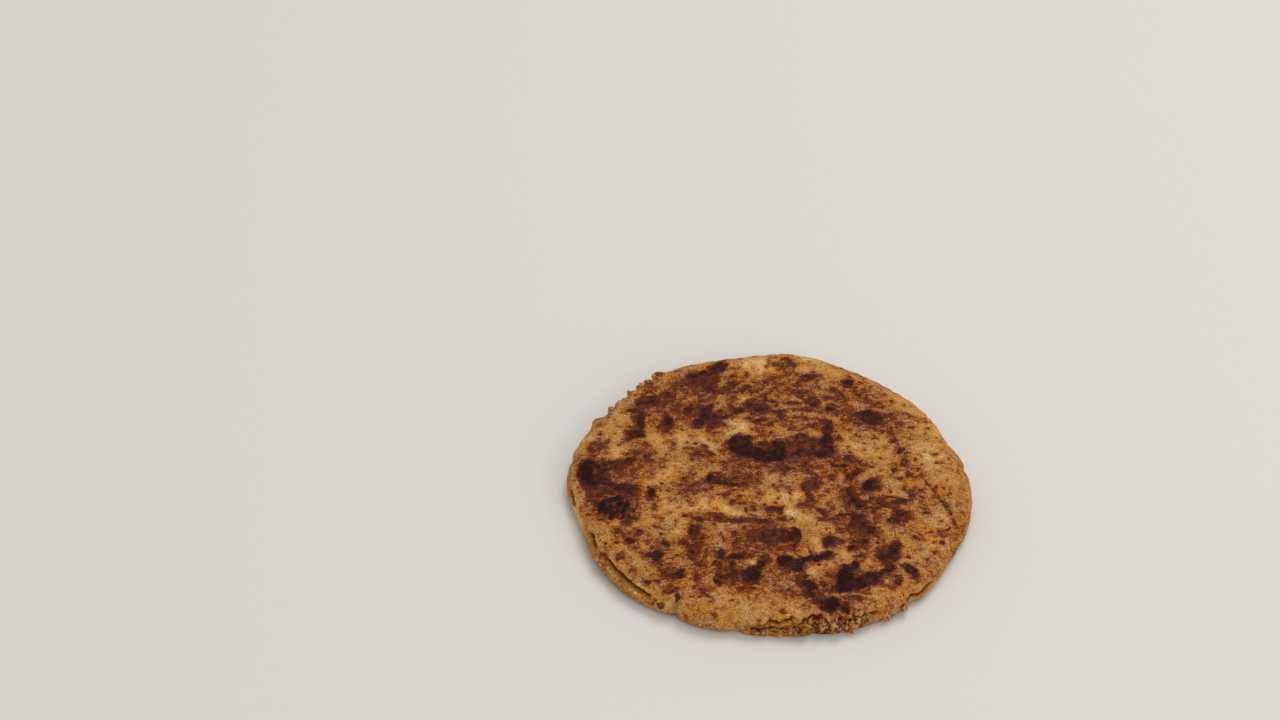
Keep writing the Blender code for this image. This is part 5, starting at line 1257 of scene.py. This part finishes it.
def crust_material():
    nodes = Nodes("crust")
    place = nodes.add("ShaderNodeTexCoord").outputs["Object"]
    browning, painted_shade, ashy = (painted(nodes, name) for name in ("browning", "painted_shade", "ashy"))

    coarse = nodes.noise(place, *COARSE_NOISE)
    fine = nodes.noise(place, *FINE_NOISE)
    flecks = dots(nodes, place, *FLECKS, patchy(nodes, place, *FLECK_CLUSTERS))
    stretched = nodes.add("ShaderNodeVectorMath", operation="MULTIPLY")
    nodes.put(place, stretched.inputs[0])
    nodes.put(LINE_STRETCH, stretched.inputs[1])
    stretched = stretched.outputs[0]
    wrinkles = lines(nodes, stretched, *WRINKLES)
    wrinkles = nodes.math("MULTIPLY", patchy(nodes, place, *WRINKLE_PATCHES), wrinkles)
    ridges = lines(nodes, stretched, *RIDGE_LINES)

    level = nodes.math("ADD", browning, nodes.ranged(browning, *DARK_GAIN))
    level = browned_bumps(nodes, stretched, browning, level)
    level = nodes.math("ADD", level, nodes.ranged(coarse, *COARSE_CHANGE))
    fine_change = nodes.ranged(fine, *FINE_CHANGE)
    level = nodes.plus(level, fine_change, nodes.ranged(browning, *FINE_STRENGTH))
    level = nodes.math("ADD", level, nodes.ranged(level, *BROWN_STEP))
    # Painted shade along the wrinkles and painted highlight along the ridges.
    level = nodes.plus(level, wrinkles, PAINTED_WRINKLE_SHADE)
    level = nodes.plus(level, ridges, PAINTED_RIDGE_HIGHLIGHT)
    bright = nodes.ranged(nodes.noise(place, *BRIGHT_NOISE), *BRIGHT_CHANGE)
    level = nodes.math("ADD", level, bright)
    lumps = nodes.ranged(nodes.noise(place, *LUMP_NOISE), *LUMP_CHANGE)
    level = nodes.plus(level, lumps, nodes.ranged(browning, *BURNT))

    colour = nodes.mix("MULTIPLY", flecks, crust_colour(nodes, level), FLECK_TINT)
    # Painted shade of the gaps, pits and foot darkens the colour.
    shade = nodes.ranged(painted_shade, *PAINTED_SHADE_RANGE)
    nodes.put(tinted(nodes, place, colour, ashy, shade), nodes.shader.inputs["Base Color"])

    rough = nodes.ranged(level, *ROUGHNESS)
    rough = nodes.math("ADD", rough, nodes.ranged(fine, *FINE_ROUGHNESS))
    nodes.put(rough, nodes.shader.inputs["Roughness"])
    nodes.shader.inputs["Specular IOR Level"].default_value = CRUST_SHINE

    relief = nodes.math("MULTIPLY", coarse, COARSE_RELIEF)
    relief = nodes.plus(relief, fine, FINE_RELIEF)
    relief = nodes.plus(relief, flecks, FLECK_RELIEF)
    relief = nodes.plus(relief, wrinkles, WRINKLE_RELIEF)
    relief = nodes.plus(relief, ridges, RIDGE_RELIEF)
    bump = nodes.add("ShaderNodeBump")
    bump.inputs["Strength"].default_value = RELIEF_STRENGTH
    bump.inputs["Distance"].default_value = RELIEF_HEIGHT * MM
    nodes.put(relief, bump.inputs["Height"])
    nodes.put(bump.outputs[0], nodes.shader.inputs["Normal"])
    return nodes.material


def floor_material():
    nodes = Nodes("floor")
    nodes.shader.inputs["Base Color"].default_value = linear(*FLOOR_COLOUR)
    nodes.shader.inputs["Roughness"].default_value = FLOOR_ROUGHNESS
    nodes.shader.inputs["Specular IOR Level"].default_value = FLOOR_SHINE
    return nodes.material


# ---------------------------------------------------------------------------- camera and light

CAMERA_PLACE = (-44.84, -452.35, 468.00)
CAMERA_TILT_DOWN = 41.888
CAMERA_LENS = 52.03
NEAREST_SEEN, FARTHEST_SEEN = 10.0, 50000.0

# The floor lies a hair below the bread's flat underside, so that the two share no plane.
FLOOR_SIZE = 6000.0
FLOOR_GAP = 0.05

# Lights: name, place, size, power.
LIGHTS = (
    ("key", (500.0, 900.0, 2000.0), 1300.0, 14.0),
    ("fill", (1300.0, -1500.0, 900.0), 1300.0, 12.0),
)
SKY_COLOUR = (1.0, 0.985, 0.96, 1.0)
SKY_STRENGTH = 0.60


def make_camera():
    data = bpy.data.cameras.new("camera")
    data.lens = CAMERA_LENS
    data.clip_start = NEAREST_SEEN * MM
    data.clip_end = FARTHEST_SEEN * MM
    camera = bpy.data.objects.new("camera", data)
    camera.location = Vector(CAMERA_PLACE) * MM
    camera.rotation_euler = (math.radians(90.0 - CAMERA_TILT_DOWN), 0.0, 0.0)
    bpy.context.scene.collection.objects.link(camera)
    bpy.context.scene.camera = camera


def make_floor():
    half, low = FLOOR_SIZE * MM / 2.0, -FLOOR_GAP * MM
    corners = [(-half, -half, low), (half, -half, low), (half, half, low), (-half, half, low)]
    mesh = bpy.data.meshes.new("floor")
    mesh.from_pydata(corners, [], [(0, 1, 2, 3)])
    mesh.materials.append(floor_material())
    floor = bpy.data.objects.new("floor", mesh)
    bpy.context.scene.collection.objects.link(floor)


def make_light(name, place, size, power):
    data = bpy.data.lights.new(name, "AREA")
    data.shape = "DISK"
    data.size = size * MM
    data.energy = power
    light = bpy.data.objects.new(name, data)
    light.location = Vector(place) * MM
    light.rotation_euler = (-light.location).to_track_quat("-Z", "Y").to_euler()
    bpy.context.scene.collection.objects.link(light)


def make_world():
    world = bpy.data.worlds.new("world")
    world.use_nodes = True
    background = world.node_tree.nodes["Background"]
    background.inputs["Color"].default_value = SKY_COLOUR
    background.inputs["Strength"].default_value = SKY_STRENGTH
    bpy.context.scene.world = world


make_camera()
make_floor()
for light in LIGHTS:
    make_light(*light)
make_world()
bpy.context.scene.view_settings.view_transform = "Standard"
make_bread()
